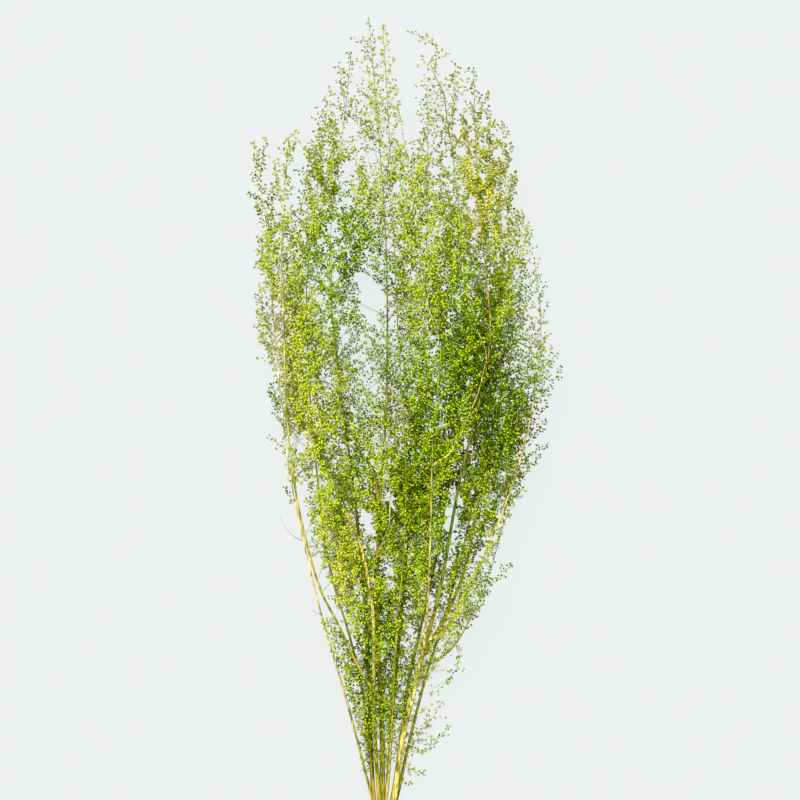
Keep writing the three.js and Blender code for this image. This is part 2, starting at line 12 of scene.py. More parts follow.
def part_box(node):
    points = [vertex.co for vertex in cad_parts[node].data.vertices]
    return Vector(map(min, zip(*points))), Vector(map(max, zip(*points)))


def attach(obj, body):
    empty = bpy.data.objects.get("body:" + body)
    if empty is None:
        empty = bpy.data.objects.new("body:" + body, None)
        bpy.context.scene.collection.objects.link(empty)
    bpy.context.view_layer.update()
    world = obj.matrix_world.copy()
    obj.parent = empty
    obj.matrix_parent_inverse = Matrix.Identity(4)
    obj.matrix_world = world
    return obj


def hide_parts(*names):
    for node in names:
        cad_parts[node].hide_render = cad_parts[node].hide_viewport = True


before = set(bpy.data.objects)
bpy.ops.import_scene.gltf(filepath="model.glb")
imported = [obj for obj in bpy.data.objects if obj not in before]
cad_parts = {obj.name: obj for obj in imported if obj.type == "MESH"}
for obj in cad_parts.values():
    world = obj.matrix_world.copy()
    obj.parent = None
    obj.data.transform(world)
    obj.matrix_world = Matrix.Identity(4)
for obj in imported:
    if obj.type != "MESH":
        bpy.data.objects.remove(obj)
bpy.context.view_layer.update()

# Driving dimensions of the bunch, in millimetres, with its tie at x = 0, y = 0
MM = 0.001
BUNCH_MIDDLE_HEIGHT = 56
BUNCH_HALF_THICKNESS = 45
SWELL_LENGTH = 290
TIP_Y = 700
TIP_MIDDLE_HEIGHT = 46
TIP_HALF_THICKNESS = 20
TIP_TAPER = 1.5
FLOOR_CLEARANCE = 0.35
CROWN_DEPTH = 1.27

# The band and the cut ends that it gathers
BAND_INNER_RADIUS = 10.3
BAND_HEIGHT = 11.4
BAND_WIDTH = 10
CUT_END_Y = -62
CUT_END_RAGGED = 8
CUT_END_SPREAD = 1.12
SPLINTERS = 5
SPLINTER_LENGTH = (1.5, 5)
SPLINTER_RADII = (0.55, 0.1)
SPLINTER_RING = 0.5
BAND_TURNS = 4
BAND_THICKNESS = 2.2
BAND_STEPS = 56
BAND_SECTION = 10
BAND_SQUARING = 0.6
BAND_START = -0.8
BAND_END_TURN = 0.5

# Limbs and side branches. Branches are full length from SPIRE_LENGTH below a limb's tip, and they
# stand closer together above SPARSE_UNTIL, over the next THICKENS_OVER.
LIMB_STEP = 6
LIMB_TAPER = 1.6
GOLDEN_ANGLE = 2.39996
TURN_JITTER = 1.2
BRANCH_STEP = 10
BRANCH_LONGEST = 72
BRANCH_SHORTEST = 4.5
BRANCH_VIGOUR = (0.65, 1.25)
BRANCH_BEND = (0.6, 1.45)
BRANCH_LEAN = (0.95, 0.42)
BRANCH_FLATNESS = 0.75
BRANCH_RADII = (0.3, 0.08)
BRANCH_TO_LIMB = 0.7
BRANCH_SPACING = (12, 6)
SPIRE_LENGTH = 200
SPIRE_POWER = 1.4
SPARSE_UNTIL = 180
THICKENS_OVER = 150

# Twigs
TWIG_SPACING = 5.5
TWIG_FREE_SHARE = 0.15
TWIG_LENGTH = (7, 16)
TWIG_SHRINK = (1.15, 0.55)
TWIG_LEAN = (1.3, 0.85)
TWIG_RADII = (0.08, 0.06)
SPRAY_TWIG_SHARE = 0.45

# Flower heads and leaves, and where along a twig, a branch and a limb the heads start. HEAD_TOP and
# HEAD_FOOT are in head radii.
HEAD_RADIUS = 0.95
HEAD_FULLNESS = 1.04
HEAD_TOP, HEAD_FOOT = 1.9, -0.2
HEAD_STALK = 1.8
HEAD_LEAN = 0.7
HEAD_TURN_JITTER = 1.5
HEAD_SPACING = 2.1
HEAD_SPACING_JITTER = (0.7, 1.3)
LIMB_HEAD_SPACING = 4.5
TWIG_HEADS_FROM = 0.15
BRANCH_HEADS_FROM = 0.22
LIMB_HEADS_LENGTH = 120
LOWEST_HEAD = 1.9
HEAD_REACH = 3.2
LEAST_RISE = 0.2
SIZE_LEAST, SIZE_LUCK = 0.82, 0.36
CROWDED_GROWTH = 0.25
CROWDED_SIZES = (0.9, 1.25)
LEAF_LENGTH = 9
LEAF_CURL = 1
LEAF_THREAD = 0.28
LEAF_LEAN = 0.8
LEAF_REACH = 11
LOBE_PAIRS = 5
LOBES_FROM, LOBE_STEP = 0.18, 0.15
LOBE_LENGTH, LOBE_SHRINK = 4.2, 0.5
LOBE_SLANT = (0.75, 0.66)
LOBE_SWAYS = (-0.4, 0.8)
LOBE_THREAD = 0.32
LOWEST_LEAF = 5
FINE_HEAD_SIDES, PLAIN_HEAD_SIDES = 6, 4
HEAD_SPIN_SEED = 7
LEAFY_UNTIL = 300
LEAFY_INSIDE_UNTIL = 480
LEAVES_EVERY = 16
LEAVES_UP_TO = 0.75
FINE_HEADS_A_PIECE = 16000
PLAIN_HEADS_A_PIECE = 20000
LEAVES_A_PIECE = 4000
OUTER_DEPTH = 0.45

# The waves in the bunch's outline and round its windows. Without EDGE_WAVE_SEED, the noise behind
# them would differ from run to run.
EDGE_WAVE = 5
EDGE_WAVE_LENGTH = 9
EDGE_WAVE_SEED = 5

# The turns and shares of its length at which a shoot is tried, until it keeps inside the bunch
SHOOT_TRIES = ((0, 1), (math.pi, 1), (0, 0.6), (math.pi, 0.6), (0, 0.35))

# Room among the seeds for a stem's limbs and a limb's branches, and what each number from noise()
# is for
LIMBS_A_STEM = 16
BRANCHES_A_LIMB = 64
TWIGS_A_BRANCH = 16
VIGOUR_KEY, TURN_KEY, TWIG_KEY, PLACE_KEY, HEAD_TURN_KEY, TONE_KEY = 1, 2, 3, 4, 5, 6
CUT_KEY, SIZE_KEY, BEND_KEY, BRANCH_TONE_KEY, LEAF_TURN_KEY, LEAF_KEY = 7, 8, 9, 10, 11, 12
CLEAR_KEY, SPLINTER_KEY, STAND_KEY = 13, 14, 15

# The bunch's outline from above: [y, left x, right x]
OUTLINE = (
    (34, -16, 36), (80, -23, 64), (120, -34, 50), (160, -44, 66), (205, -55, 88), (268, -70, 106),
    (331, -84, 130), (395, -104, 147), (459, -110, 140), (523, -108, 124), (565, -116, 115),
    (608, -108, 108), (640, -52, 92), (671, -40, 62), (705, -24, 40),
)

# Where the heads stand thicker or thinner than elsewhere: (x, y, reach across, along, change)
DENSITY_PATCHES = (
    (0, 230, 30, 90, 1.0), (40, 290, 25, 60, 0.7), (75, 375, 38, 75, 0.6), (82, 560, 26, 50, 1.0),
    (-80, 440, 30, 90, -0.25), (-7, 400, 26, 50, -0.85), (-45, 400, 22, 45, -0.3),
    (-7, 590, 24, 35, -0.4), (10, 680, 60, 60, -0.6), (36, 630, 22, 30, -0.45),
    (5, 438, 18, 30, -0.75), (-40, 240, 22, 50, 0.5), (-52, 330, 22, 40, 0.5),
    (-10, 290, 25, 30, 0.6), (-47, 530, 28, 55, 0.65), (75, 285, 25, 32, 0.5),
    (130, 445, 20, 75, -0.75), (38, 145, 22, 60, -1.1), (-93, 320, 16, 36, -0.6),
    (-18, 262, 12, 20, -1.0), (-36, 336, 16, 14, -0.5),
)
DENSITY_RANGE = (0.25, 2.2)

# Gaps that show the ground through the bunch: [x, y, half width, half length]
WINDOWS = (
    (-13, 463, 7, 22), (-31, 430, 6, 8), (20, 634, 6.5, 50), (-73, 340, 8, 7),
    (-71, 280, 6, 24), (-12, 268, 2.4, 8), (2, 344, 4.5, 5), (59, 272, 5, 28),
    (-43, 518, 4, 6.5), (-41, 476, 5, 3.5), (-31, 540, 7, 2.5), (-8, 579, 9, 4), (-84, 538, 5, 8),
    (-54, 460, 4, 5), (-28, 603, 5, 5), (-49, 391, 4, 5), (-7, 387, 5, 7), (-27, 570, 5, 4),
)

# Where the heads have dried golden, and where they are darker green, which is partly their own colour
# and partly painted shade deep in the bunch: (x, y, reach, change)
TONE_AND_SHADE_PATCHES = (
    (-66, 330, 38, 0.18), (-94, 440, 42, 0.24), (104, 520, 28, 0.14), (85, 560, 34, 0.1),
    (135, 430, 26, 0.24), (5, 340, 14, 0.1), (-30, 505, 24, -0.16), (95, 385, 38, -0.16),
    (-4, 150, 40, -0.2), (30, 480, 32, 0.07), (-50, 240, 30, 0.24), (45, 85, 35, 0.15),
    (-38, 195, 30, 0.16), (5, 80, 32, 0.18), (36, 172, 26, 0.26), (35, 300, 26, -0.1),
)
TONE_AND_SHADE_PATCH_STRETCH = 0.6

# A head's tone is 0 for deep green and 1 for straw. It starts at TONE_BASE, and its own luck, its
# branch's luck and its place change it, and deep inside the bunch it is lowered as painted shade. Its
# shade, which makes it darker or brighter, is painted shade inside the bunch and painted light near
# its sides, and it darkens green heads on the spires. It fades out above GOLDEN_TONE.
TONE_BASE, TONE_LUCK = 0.23, 0.4
BRANCH_TONE_LUCK, BRANCH_TONE_MIDDLE = 0.26, 0.4
SPIRES_FROM = 480
SPIRES_FULL = 630
SPIRE_TONE = 0.3
SPIRE_SHADE = 0.88
# Heads deep inside the bunch are made greener and darker, and those near its upper and lower sides
# brighter: painted shade and painted light.
INNER_PAINTED_SHADE_TONE = -0.05
INNER_PAINTED_SHADE = 0.72
OUTER_PAINTED_LIGHT = 1.12
GOLDEN_TONE = 0.6

# Heads that stand alone are made darker and greener than crowded ones. They are counted from above,
# and CROWD says how many there are in a cell where they stand alone and where they crowd.
CROWD_CELL = 6
CROWD = (6, 26)
LONELY_SHADE = 0.68
LONELY_TONE = -0.04

# Stretches of limbs that stand clear in front: (stem, limb, from y, to y). Of the heads that hang
# within CLEAR_MARGIN of such a limb, only a share of CLEAR_KEEPS stays.
CLEAR_LIMBS = (
    ("stem_left_outer", 0, 250, 430), ("stem_right_main", 1, 432, 505),
    ("stem_right_main", 2, 182, 322), ("stem_right_main", 2, 412, 482),
    ("stem_right_main", 0, 196, 330), ("stem_right_main", 0, 428, 515),
    ("stem_right_main", 4, 262, 345), ("stem_right_main", 6, 316, 440),
    ("stem_centre", 1, 288, 376), ("stem_centre", 2, 246, 366), ("stem_snapped", 0, 196, 300),
)
CLEAR_MARGIN = 1.3
CLEAR_KEEPS = 0.18

# Bark colours, linear
OLIVE = (0.23, 0.25, 0.01)
DARK_OLIVE = (0.10, 0.11, 0.005)
BROWN = (0.22, 0.15, 0.015)
LEAF_GREEN = (0.24, 0.32, 0.012)
STRAW = (0.56, 0.51, 0.11)
PALE_STRAW = (0.76, 0.68, 0.34)
TAN = (0.70, 0.57, 0.14)
GOLD = (0.56, 0.42, 0.06)
GREEN_BARK = (0.15, 0.22, 0.01)
YOUNG_BARK = (0.24, 0.31, 0.012)
CUT_WOOD = (0.72, 0.62, 0.34)
PITH = (0.42, 0.32, 0.14)
BLOTCH = (0.075, 0.07, 0.006)
SCAR = (0.50, 0.33, 0.06)

# What the grooves and the ridges of the bark do to its colour, and the discs on a cut end: share
# of the stem's radius, how far it stands out, colour
GROOVE_TINT = (0.30, 0.27, 0.12)
RIDGE_TINT = (1.35, 1.3, 1.5)
CUT_DISCS = ((0.88, 0.15, CUT_WOOD), (0.35, 0.25, PITH))

# The heads' colours by tone, and the leaves' and the rubber's by their mottle
HEAD_COLOURS = (
    (0.0, (0.012, 0.035, 0.001)), (0.28, (0.09, 0.16, 0.001)), (0.52, (0.33, 0.45, 0.005)),
    (0.75, (0.47, 0.51, 0.02)), (0.9, (0.59, 0.52, 0.06)), (1.0, (0.68, 0.54, 0.14)),
)
LEAF_COLOURS = ((0.3, (0.10, 0.17, 0.003)), (0.7, (0.24, 0.3, 0.008)))
RUBBER_COLOURS = ((0.3, (0.42, 0.27, 0.12)), (0.7, (0.55, 0.38, 0.19)))
RUBBER_DUST = (0.68, 0.55, 0.36)

# The camera looks straight down on the plumes, with VIEW_WIDTH across at VIEW_HEIGHT
LENS, SENSOR = 100, 36
VIEW_WIDTH = 680
VIEW_MIDDLE = (14.4, 374)
VIEW_HEIGHT = 50
VIEW_DISTANCE = VIEW_WIDTH * LENS / SENSOR

# The pale ground, which reaches FLOOR_REACH metres each way, and how much of it takes shade
FLOOR_REACH = 6.0
FLOOR_COLOUR = (0.812, 0.836, 0.828)
FLOOR_SHADE = 0.04

# Soft studio light: a pale sky and two lamps that aim at the plumes, as (place, size, watts), in
# metres
SKY_COLOUR = (0.95, 0.98, 1)
SKY_STRENGTH = 0.9
KEY_LIGHT = ((-0.7, 1.2, 4.0), 1.8, 250)
FILL_LIGHT = ((2.2, -1.2, 4.0), 3.0, 30)
LIGHTS_AIM = (0, 0.05, 0.05)


def spray_from(limb, start, *way, bare=False):
    """A side branch with a way of its own, which starts on a limb of its stem at the y start."""
    return dict(limb=limb, start=start, way=way, bare=bare)


# Every stem: its radii at its foot and tip, its seat inside the band as (x, z) from the band's
# middle, how far along it the side branches start, its bark colours from foot to tip, and its way
# through the bunch as (x, y, depth), with depth -1 at the underside and 1 on top. A fork has radii,
# bark and a way of its own, and starts on the trunk (0) or on an earlier fork at the y start.
STEMS = (
    dict(name="stem_left_outer", radii=(1.3, 0.4), seat=(-6.7, 0), leafy_from=360,
         bark=(BROWN, OLIVE, STRAW, TAN, PALE_STRAW, PALE_STRAW, PALE_STRAW),
         way=((-11, 34, 0.2), (-32, 119, 0.3), (-51, 187, 0.3), (-67, 255, 0.2), (-81, 327, 0.1),
              (-93, 442, 0), (-99, 518, 0.2), (-109, 592, 0.3)),
         sprays=(
             spray_from(0, 250, (-73, 258, 0.4), (-82, 268, 0.6), (-86, 278, 0.7), bare=True),
             spray_from(0, 192, (-56, 194, 0.5), (-59, 197, 0.6), bare=True),
             spray_from(0, 283, (-77, 291, 0.3), (-83, 300, 0.35)),
             spray_from(0, 330, (-88, 337, 0.15), (-97, 342, 0.2)),
             spray_from(0, 425, (-99, 441, 0.05), (-107, 459, 0.1)),
             spray_from(0, 540, (-107, 547, 0.2), (-113, 549, 0.25)),
             spray_from(0, 560, (-102, 575, 0.35), (-99, 595, 0.4)),
             spray_from(0, 515, (-94, 535, 0.35), (-93, 556, 0.4)),
         )),
    dict(name="stem_left_inner", radii=(1.7, 0.2), seat=(-6, 3.4), leafy_from=130,
         bark=(BROWN, OLIVE, STRAW),
         way=((-9, 42, 0.35), (-13, 85, 0.1), (-19, 128, -0.2), (-29, 170, -0.55),
              (-48, 238, -0.8), (-61, 348, -0.85), (-66, 442, -0.75), (-64, 493, -0.6),
              (-52, 586, -0.3), (-46, 640, -0.1)),
         sprays=(
             spray_from(0, 160, (-34, 168, -0.4), (-41, 177, -0.35)),
             spray_from(0, 48, (-14, 66, 0.3), (-18, 92, 0.2), (-24, 124, 0.1)),
             spray_from(0, 70, (-18, 90, 0.5), (-24, 112, 0.4), (-31, 130, 0.3)),
             spray_from(0, 555, (-58, 576, -0.3), (-61, 595, -0.25)),
             spray_from(0, 575, (-54, 590, -0.15), (-54, 604, -0.1)),
         )),
    dict(name="stem_centre_left", radii=(2.4, 0.2), seat=(-5.1, -3.9), leafy_from=230,
         bark=(OLIVE, DARK_OLIVE, DARK_OLIVE, LEAF_GREEN, LEAF_GREEN),
         way=((-9, 34, -0.45), (-11, 85, -0.4), (-14, 170, -0.35), (-23, 280, -0.3),
              (-35, 374, -0.2), (-45, 476, 0), (-42, 544, 0.1), (-34, 604, 0.2), (-27, 668, 0.2)),
         sprays=(
             spray_from(0, 620, (-35, 640, 0.3), (-37, 659, 0.35)),
             spray_from(0, 42, (-13, 60, 0.2), (-14, 84, 0.4), (-17, 108, 0.5)),
             spray_from(0, 80, (-8, 100, 0.2), (-5, 122, 0.4)),
         )),
    dict(name="stem_snapped", radii=(2.1, 1.2), seat=(-2, 4.3), leafy_from=150,
         bark=(BROWN, OLIVE, YOUNG_BARK, STRAW, GOLD),
         way=((-4, 34, 0.6), (-7, 85, 0.7), (-8, 136, 0.6), (-8, 187, 0.5), (-12, 221, 0.55),
              (-17, 246, 0.6), (-24, 268, 0.62), (-32, 281, 0.65))),
    dict(name="stem_centre", radii=(3.1, 0.2), seat=(0, -0.8), leafy_from=190,
         bark=(STRAW, OLIVE, OLIVE, GREEN_BARK, GREEN_BARK, GREEN_BARK),
         way=((-1, 34, -0.1), (-1, 85, 0), (-4, 153, 0), (-5, 221, 0.1), (-3, 280, 0.2),
              (3, 374, 0.3), (3, 493, 0.4), (-4, 604, 0.4), (-12, 697, 0.3)),
         forks=(
             dict(limb=0, radii=(1.9, 0.2), start=283, leafy_from=35,
                  bark=(GREEN_BARK, LEAF_GREEN),
                  way=((-9, 316, 0.4), (-20, 330, 0.5), (-32, 340, 0.6), (-43, 353, 0.65),
                       (-52, 367, 0.7), (-60, 385, 0.7), (-66, 410, 0.75), (-68, 432, 0.8))),
             dict(limb=0, radii=(0.9, 0.2), start=243, leafy_from=60, bark=(STRAW, PALE_STRAW),
                  way=((0, 255, 0.35), (5, 268, 0.5), (6, 290, 0.6), (5, 315, 0.65),
                       (2, 334, 0.65), (-2, 366, 0.7))),
             dict(limb=1, radii=(0.9, 0.2), start=345, leafy_from=10,
                  bark=(LEAF_GREEN, LEAF_GREEN),
                  way=((-36, 368, 0.7), (-38, 400, 0.8), (-42, 440, 0.8), (-43, 490, 0.75))),
         ),
         sprays=(
             spray_from(0, 655, (-13, 668, 0.35), (-18, 678, 0.35)),
             spray_from(0, 40, (2, 62, 0.5), (4, 90, 0.8), (2, 118, 0.8)),
             spray_from(0, 74, (-4, 94, 0.6), (-9, 118, 0.9), (-12, 142, 0.9)),
         )),
    dict(name="stem_centre_right", radii=(1.6, 0.2), seat=(1.6, 6.2), leafy_from=130,
         bark=(STRAW, OLIVE, YOUNG_BARK, YOUNG_BARK, GREEN_BARK),
         way=((3, 34, 0.75), (7, 85, 0.75), (11, 170, 0.75), (18, 255, 0.75), (19, 323, 0.75),
              (13, 425, 0.8), (11, 476, 0.8), (6, 586, 0.8), (0, 690, 0.6))),
    dict(name="stem_back_centre", radii=(2.1, 0.2), seat=(-0.8, -6.4), leafy_from=150,
         bark=(OLIVE, OLIVE, LEAF_GREEN, LEAF_GREEN),
         way=((3, 34, -0.85), (8, 102, -0.8), (14, 170, -0.8), (26, 306, -0.8), (35, 434, -0.6),
              (38, 552, -0.4), (38, 642, -0.3))),
    dict(name="stem_back_right", radii=(2.3, 0.2), seat=(3.9, -5.2), leafy_from=170,
         bark=(OLIVE, OLIVE, LEAF_GREEN, LEAF_GREEN),
         way=((9, 34, -0.6), (16, 85, -0.55), (23, 136, -0.5), (47, 246, -0.7), (65, 366, -0.75),
              (71, 442, -0.7), (67, 518, -0.6), (60, 582, -0.45), (59, 622, -0.4)),
         forks=(
             dict(limb=0, radii=(0.5, 0.2), start=582, leafy_from=8, bark=(OLIVE, YOUNG_BARK),
                  way=((54, 616, -0.1), (52, 634, 0.1), (45, 647, 0.2), (40, 661, 0.3),
                       (46, 670, 0.35), (40, 678, 0.4), (22, 686, 0.4))),
         ),
         sprays=(
             spray_from(0, 610, (61, 640, -0.4), (62, 661, -0.35)),
         )),
    dict(name="stem_right_main", radii=(3.2, 0.2), seat=(5.7, 2.9), leafy_from=250,
         bark=(TAN, STRAW, STRAW, OLIVE, GREEN_BARK, GOLD, GOLD, GREEN_BARK, GREEN_BARK),
         way=((10, 34, 0.45), (17, 85, 0.45), (25, 119, 0.45), (32, 150, 0.4), (37, 170, 0.3),
              (49, 217, 0.2), (65, 306, 0.1), (82, 374, 0), (91, 430, 0), (86, 493, 0.05),
              (79, 578, 0.2), (77, 655, 0.2)),
         forks=(
             dict(limb=0, radii=(1.3, 0.45), start=103, leafy_from=150, bark=(OLIVE, STRAW),
                  way=((12, 112, 1.3), (-6, 127, 1.5), (-22, 153, 1.25), (-38, 187, 0.9),
                       (-54, 221, 0.8), (-71, 289, 0.7), (-80, 360, 0.6), (-83, 442, 0.6),
                       (-85, 493, 0.6), (-80, 592, 0.6))),
             dict(limb=0, radii=(1.1, 0.2), start=146, leafy_from=60,
                  bark=(STRAW, STRAW, STRAW, YOUNG_BARK, YOUNG_BARK, PALE_STRAW,
                        YOUNG_BARK, YOUNG_BARK),
                  way=((36, 180, 0.65), (39, 238, 0.8), (42, 348, 0.9), (48, 416, 0.9),
                       (35, 463, 0.85), (25, 544, 0.75), (13, 622, 0.6))),
             dict(limb=0, radii=(1.7, 0.2), start=153, leafy_from=110, bark=(OLIVE, STRAW),
                  way=((48, 180, 0.1), (67, 221, -0.15), (77, 264, -0.3), (93, 348, -0.35),
                       (109, 408, -0.35), (110, 476, -0.3), (104, 561, -0.1), (101, 610, 0))),
             dict(limb=0, radii=(1.5, 0.2), start=162, leafy_from=110, bark=(TAN, STRAW),
                  way=((54, 180, 0.3), (78, 227, 0.35), (104, 289, 0.3), (122, 348, 0.25),
                       (132, 410, 0.2), (133, 450, 0.2), (128, 493, 0.25))),
             dict(limb=0, radii=(1, 0.2), start=139, leafy_from=15, bark=(OLIVE, LEAF_GREEN),
                  way=((51, 157, 0.6), (65, 174, 0.75), (85, 217, 0.8), (99, 264, 0.75),
                       (109, 292, 0.7))),
             dict(limb=2, radii=(0.65, 0.2), start=316, leafy_from=150, bark=(STRAW, STRAW),
                  way=((47, 324, 0.95), (54, 328, 1), (64, 344, 1.08), (71, 361, 1.1),
                       (79, 380, 1.12), (84, 400, 1.12), (86, 409, 1.1), (84, 419, 1.08),
                       (79, 431, 1.05))),
         ),
         sprays=(
             spray_from(0, 68, (26, 72, 0.55), (37, 73, 0.5), (47, 82, 0.45), (57, 93, 0.4)),
             spray_from(0, 43, (18, 45, 0.7), (24, 43, 0.6)),
             spray_from(0, 99, (29, 105, 0.55), (36, 110, 0.5)),
             spray_from(0, 56, (20, 58, 0.6), (27, 55, 0.6), (35, 51, 0.5)),
             spray_from(0, 600, (83, 620, 0.3), (89, 634, 0.35)),
             spray_from(1, 570, (-76, 585, 0.65), (-73, 600, 0.7)),
             spray_from(1, 530, (-88, 550, 0.6), (-91, 575, 0.6)),
             spray_from(3, 480, (117, 500, -0.1), (122, 520, 0)),
             spray_from(3, 530, (109, 550, 0), (113, 568, 0.05)),
             spray_from(3, 560, (106, 578, -0.05), (109, 592, 0)),
             spray_from(4, 286, (110, 293, 0.4), (117, 300, 0.45)),
             spray_from(4, 303, (117, 310, 0.1), (125, 318, 0), (133, 327, -0.1)),
             spray_from(4, 318, (120, 326, 0.3), (128, 331, 0.35), (138, 337, 0.4)),
             spray_from(4, 335, (126, 342, 0.15), (132, 349, 0.1), (137, 357, 0.05)),
             spray_from(4, 370, (134, 378, 0.3), (141, 386, 0.35), (150, 401, 0.45)),
             spray_from(4, 394, (140, 404, 0.2), (147, 413, 0.2)),
             spray_from(5, 166, (65, 157, 0.75), (63, 147, 0.75), (54, 134, 0.75),
                        (42, 123, 0.8)),
             spray_from(5, 186, (79, 196, 0.7), (87, 212, 0.6)),
             spray_from(5, 213, (93, 222, 0.85), (106, 237, 0.75)),
         )),
    dict(name="stem_right_back", radii=(1.8, 0.2), seat=(7.4, -2.3), leafy_from=170,
         bark=(OLIVE, LEAF_GREEN),
         way=((13, 34, -0.25), (24, 85, -0.25), (37, 136, -0.3), (62, 220, -0.6), (78, 289, -0.7),
              (95, 380, -0.7), (100, 442, -0.65), (95, 520, -0.4), (89, 600, -0.3)),
         sprays=(
             spray_from(0, 580, (91, 604, -0.25), (90, 624, -0.2)),
             spray_from(0, 60, (16, 80, 0), (17, 104, 0.3), (22, 128, 0.4)),
         )),
)

seed_set(EDGE_WAVE_SEED)
band_low, band_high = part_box("elastic_band")
TIE_X = (band_low[0] + band_high[0]) / 2
TIE_Y = (band_low[1] + band_high[1]) / 2


def row(point):
    """A point of the bunch, in millimetres from its tie, in the part's own frame, in metres."""
    return Vector((point.x * MM + TIE_X, point.y * MM + TIE_Y, point.z * MM))


def noise(*keys):
    """A number from 0 to 1 that depends on nothing but the whole numbers it is given."""
    value = 2166136261
    for key in keys:
        value = ((value ^ key) * 16777619) & 0xFFFFFFFF
        value ^= value >> 13
        value = (value * 1540483477) & 0xFFFFFFFF
        value ^= value >> 15
    return value / 4294967296


def mix(a, b, t):
    return a + (b - a) * t


def mix_colour(a, b, t):
    return tuple(mix(x, y, t) for x, y in zip(a, b))


def colour_along(colours, share):
    """The colour at a share of the way through a few evenly spaced colours."""
    place = clamp(share) * (len(colours) - 1)
    first = min(int(place), len(colours) - 2)
    return mix_colour(colours[first], colours[first + 1], place - first)


def clamp(value, low=0.0, high=1.0):
    return max(low, min(high, value))


def thickness_at(y):
    """The bunch's middle height and half its thickness at y."""
    swell = 0.5 - 0.5 * math.cos(clamp(y / SWELL_LENGTH) * math.pi)
    taper = clamp((y - SWELL_LENGTH) / (TIP_Y - SWELL_LENGTH)) ** TIP_TAPER
    middle = mix(mix(BAND_HEIGHT, BUNCH_MIDDLE_HEIGHT, swell), TIP_MIDDLE_HEIGHT, taper)
    half = mix(mix(BAND_INNER_RADIUS, BUNCH_HALF_THICKNESS, swell), TIP_HALF_THICKNESS, taper)
    return middle, half


def height_at(y, depth):
    """Height of a point at y, with depth from -1 at the bunch's underside to 1 on top."""
    middle, half = thickness_at(y)
    return middle + half * depth


def is_outer(point):
    """True for a point near the bunch's upper or lower side."""
    middle, half = thickness_at(point.y)
    return abs(point.z - middle) > OUTER_DEPTH * half


def is_inside(point):
    """True inside the bunch's wavy outline, under its crown and outside its windows."""
    if point.z > height_at(point.y, CROWN_DEPTH) or is_in_window(point):
        return False
    spot = waved(point)
    for (y0, left0, right0), (y1, left1, right1) in zip(OUTLINE, OUTLINE[1:]):
        if y0 <= spot.y < y1:
            t = (spot.y - y0) / (y1 - y0)
            return mix(left0, left1, t) <= spot.x <= mix(right0, right1, t)
    return False


def is_in_window(point):
    """True in one of the gaps that show the ground."""
    spot = waved(point)
    return any(((spot.x - x) / half_width) ** 2 + ((spot.y - y) / half_length) ** 2 < 1
               for x, y, half_width, half_length in WINDOWS)


def waved(point):
    """The point, moved up to EDGE_WAVE each way, so that outline and windows are uneven."""
    return point + noise_vector(point / EDGE_WAVE_LENGTH) * EDGE_WAVE


def density_at(point):
    """How thickly the heads stand about a point, 1 being usual."""
    density = 1.0
    for x, y, across, along, change in DENSITY_PATCHES:
        far = math.hypot((point.x - x) / across, (point.y - y) / along)
        density += change * math.exp(-far * far)
    return clamp(density, *DENSITY_RANGE)


def smooth(points, step):
    """An even curve through the points, with a new point about every step."""
    ends = [points[0] * 2 - points[1], *points, points[-1] * 2 - points[-2]]
    curve = []
    for before, a, b, after in zip(ends, ends[1:], ends[2:], ends[3:]):
        count = max(1, round((b - a).length / step))
        leave, arrive = (b - before) / 2, (after - a) / 2
        for k in range(count):
            t = k / count
            curve.append(a * (2 * t**3 - 3 * t**2 + 1) + leave * (t**3 - 2 * t**2 + t)
                         + b * (3 * t**2 - 2 * t**3) + arrive * (t**3 - t**2))
    curve.append(points[-1])
    return curve


class Stalk:
    """A limb (order 0), side branch (1) or twig (2): a path, with radii and bark colours from foot
    to tip. A free one may leave the bunch's outline, and a bare one carries no heads."""

    def __init__(self, seed, order, path, radii, bark, is_free=False, is_bare=False,
                 leafy_from=0):
        self.seed, self.order, self.path, self.radii, self.bark = seed, order, path, radii, bark
        self.is_free, self.is_bare, self.leafy_from = is_free, is_bare, leafy_from
        self.marks = [0.0]
        for a, b in zip(path, path[1:]):
            self.marks.append(self.marks[-1] + (b - a).length)
        self.length = self.marks[-1]

    def at(self, distance):
        """The point and the direction at a distance along the stalk."""
        piece = 0
        while piece < len(self.path) - 2 and self.marks[piece + 1] < distance:
            piece += 1
        a, b = self.path[piece], self.path[piece + 1]
        share = (distance - self.marks[piece]) / (self.marks[piece + 1] - self.marks[piece])
        return a.lerp(b, share), (b - a).normalized()

    def radius_at(self, distance):
        foot, tip = self.radii
        return mix(tip, foot, (1 - clamp(distance / self.length)) ** LIMB_TAPER)

    def bark_at(self, distance):
        return colour_along(self.bark, distance / self.length)


def to_points(way):
    return [Vector((x, y, height_at(y, depth))) for x, y, depth in way]


def limbs_of(stem, stem_index):
    """The stem's trunk and forks, as smooth curves through their waypoints."""
    seat_x, seat_z = stem["seat"]
    cut_y = CUT_END_Y - CUT_END_RAGGED * noise(stem_index, CUT_KEY)
    points = [Vector((seat_x * CUT_END_SPREAD, cut_y, BAND_HEIGHT + seat_z * CUT_END_SPREAD)),
              Vector((seat_x, -BAND_WIDTH, BAND_HEIGHT + seat_z)),
              Vector((seat_x, BAND_WIDTH, BAND_HEIGHT + seat_z))]
    path = smooth(points + to_points(stem["way"]), LIMB_STEP)
    limbs = [Stalk(stem_index * LIMBS_A_STEM, 0, path, stem["radii"], stem["bark"],
                   leafy_from=stem["leafy_from"])]
    for fork in stem.get("forks", ()):
        path = smooth([root_of(fork, limbs), *to_points(fork["way"])], LIMB_STEP)
        limbs.append(Stalk(stem_index * LIMBS_A_STEM + len(limbs), 0, path, fork["radii"],
                           fork["bark"], leafy_from=fork["leafy_from"]))
    return limbs


def root_of(given, limbs):
    """The point on its limb where a fork or a spray starts."""
    return next(point for point in limbs[given["limb"]].path if point.y >= given["start"])


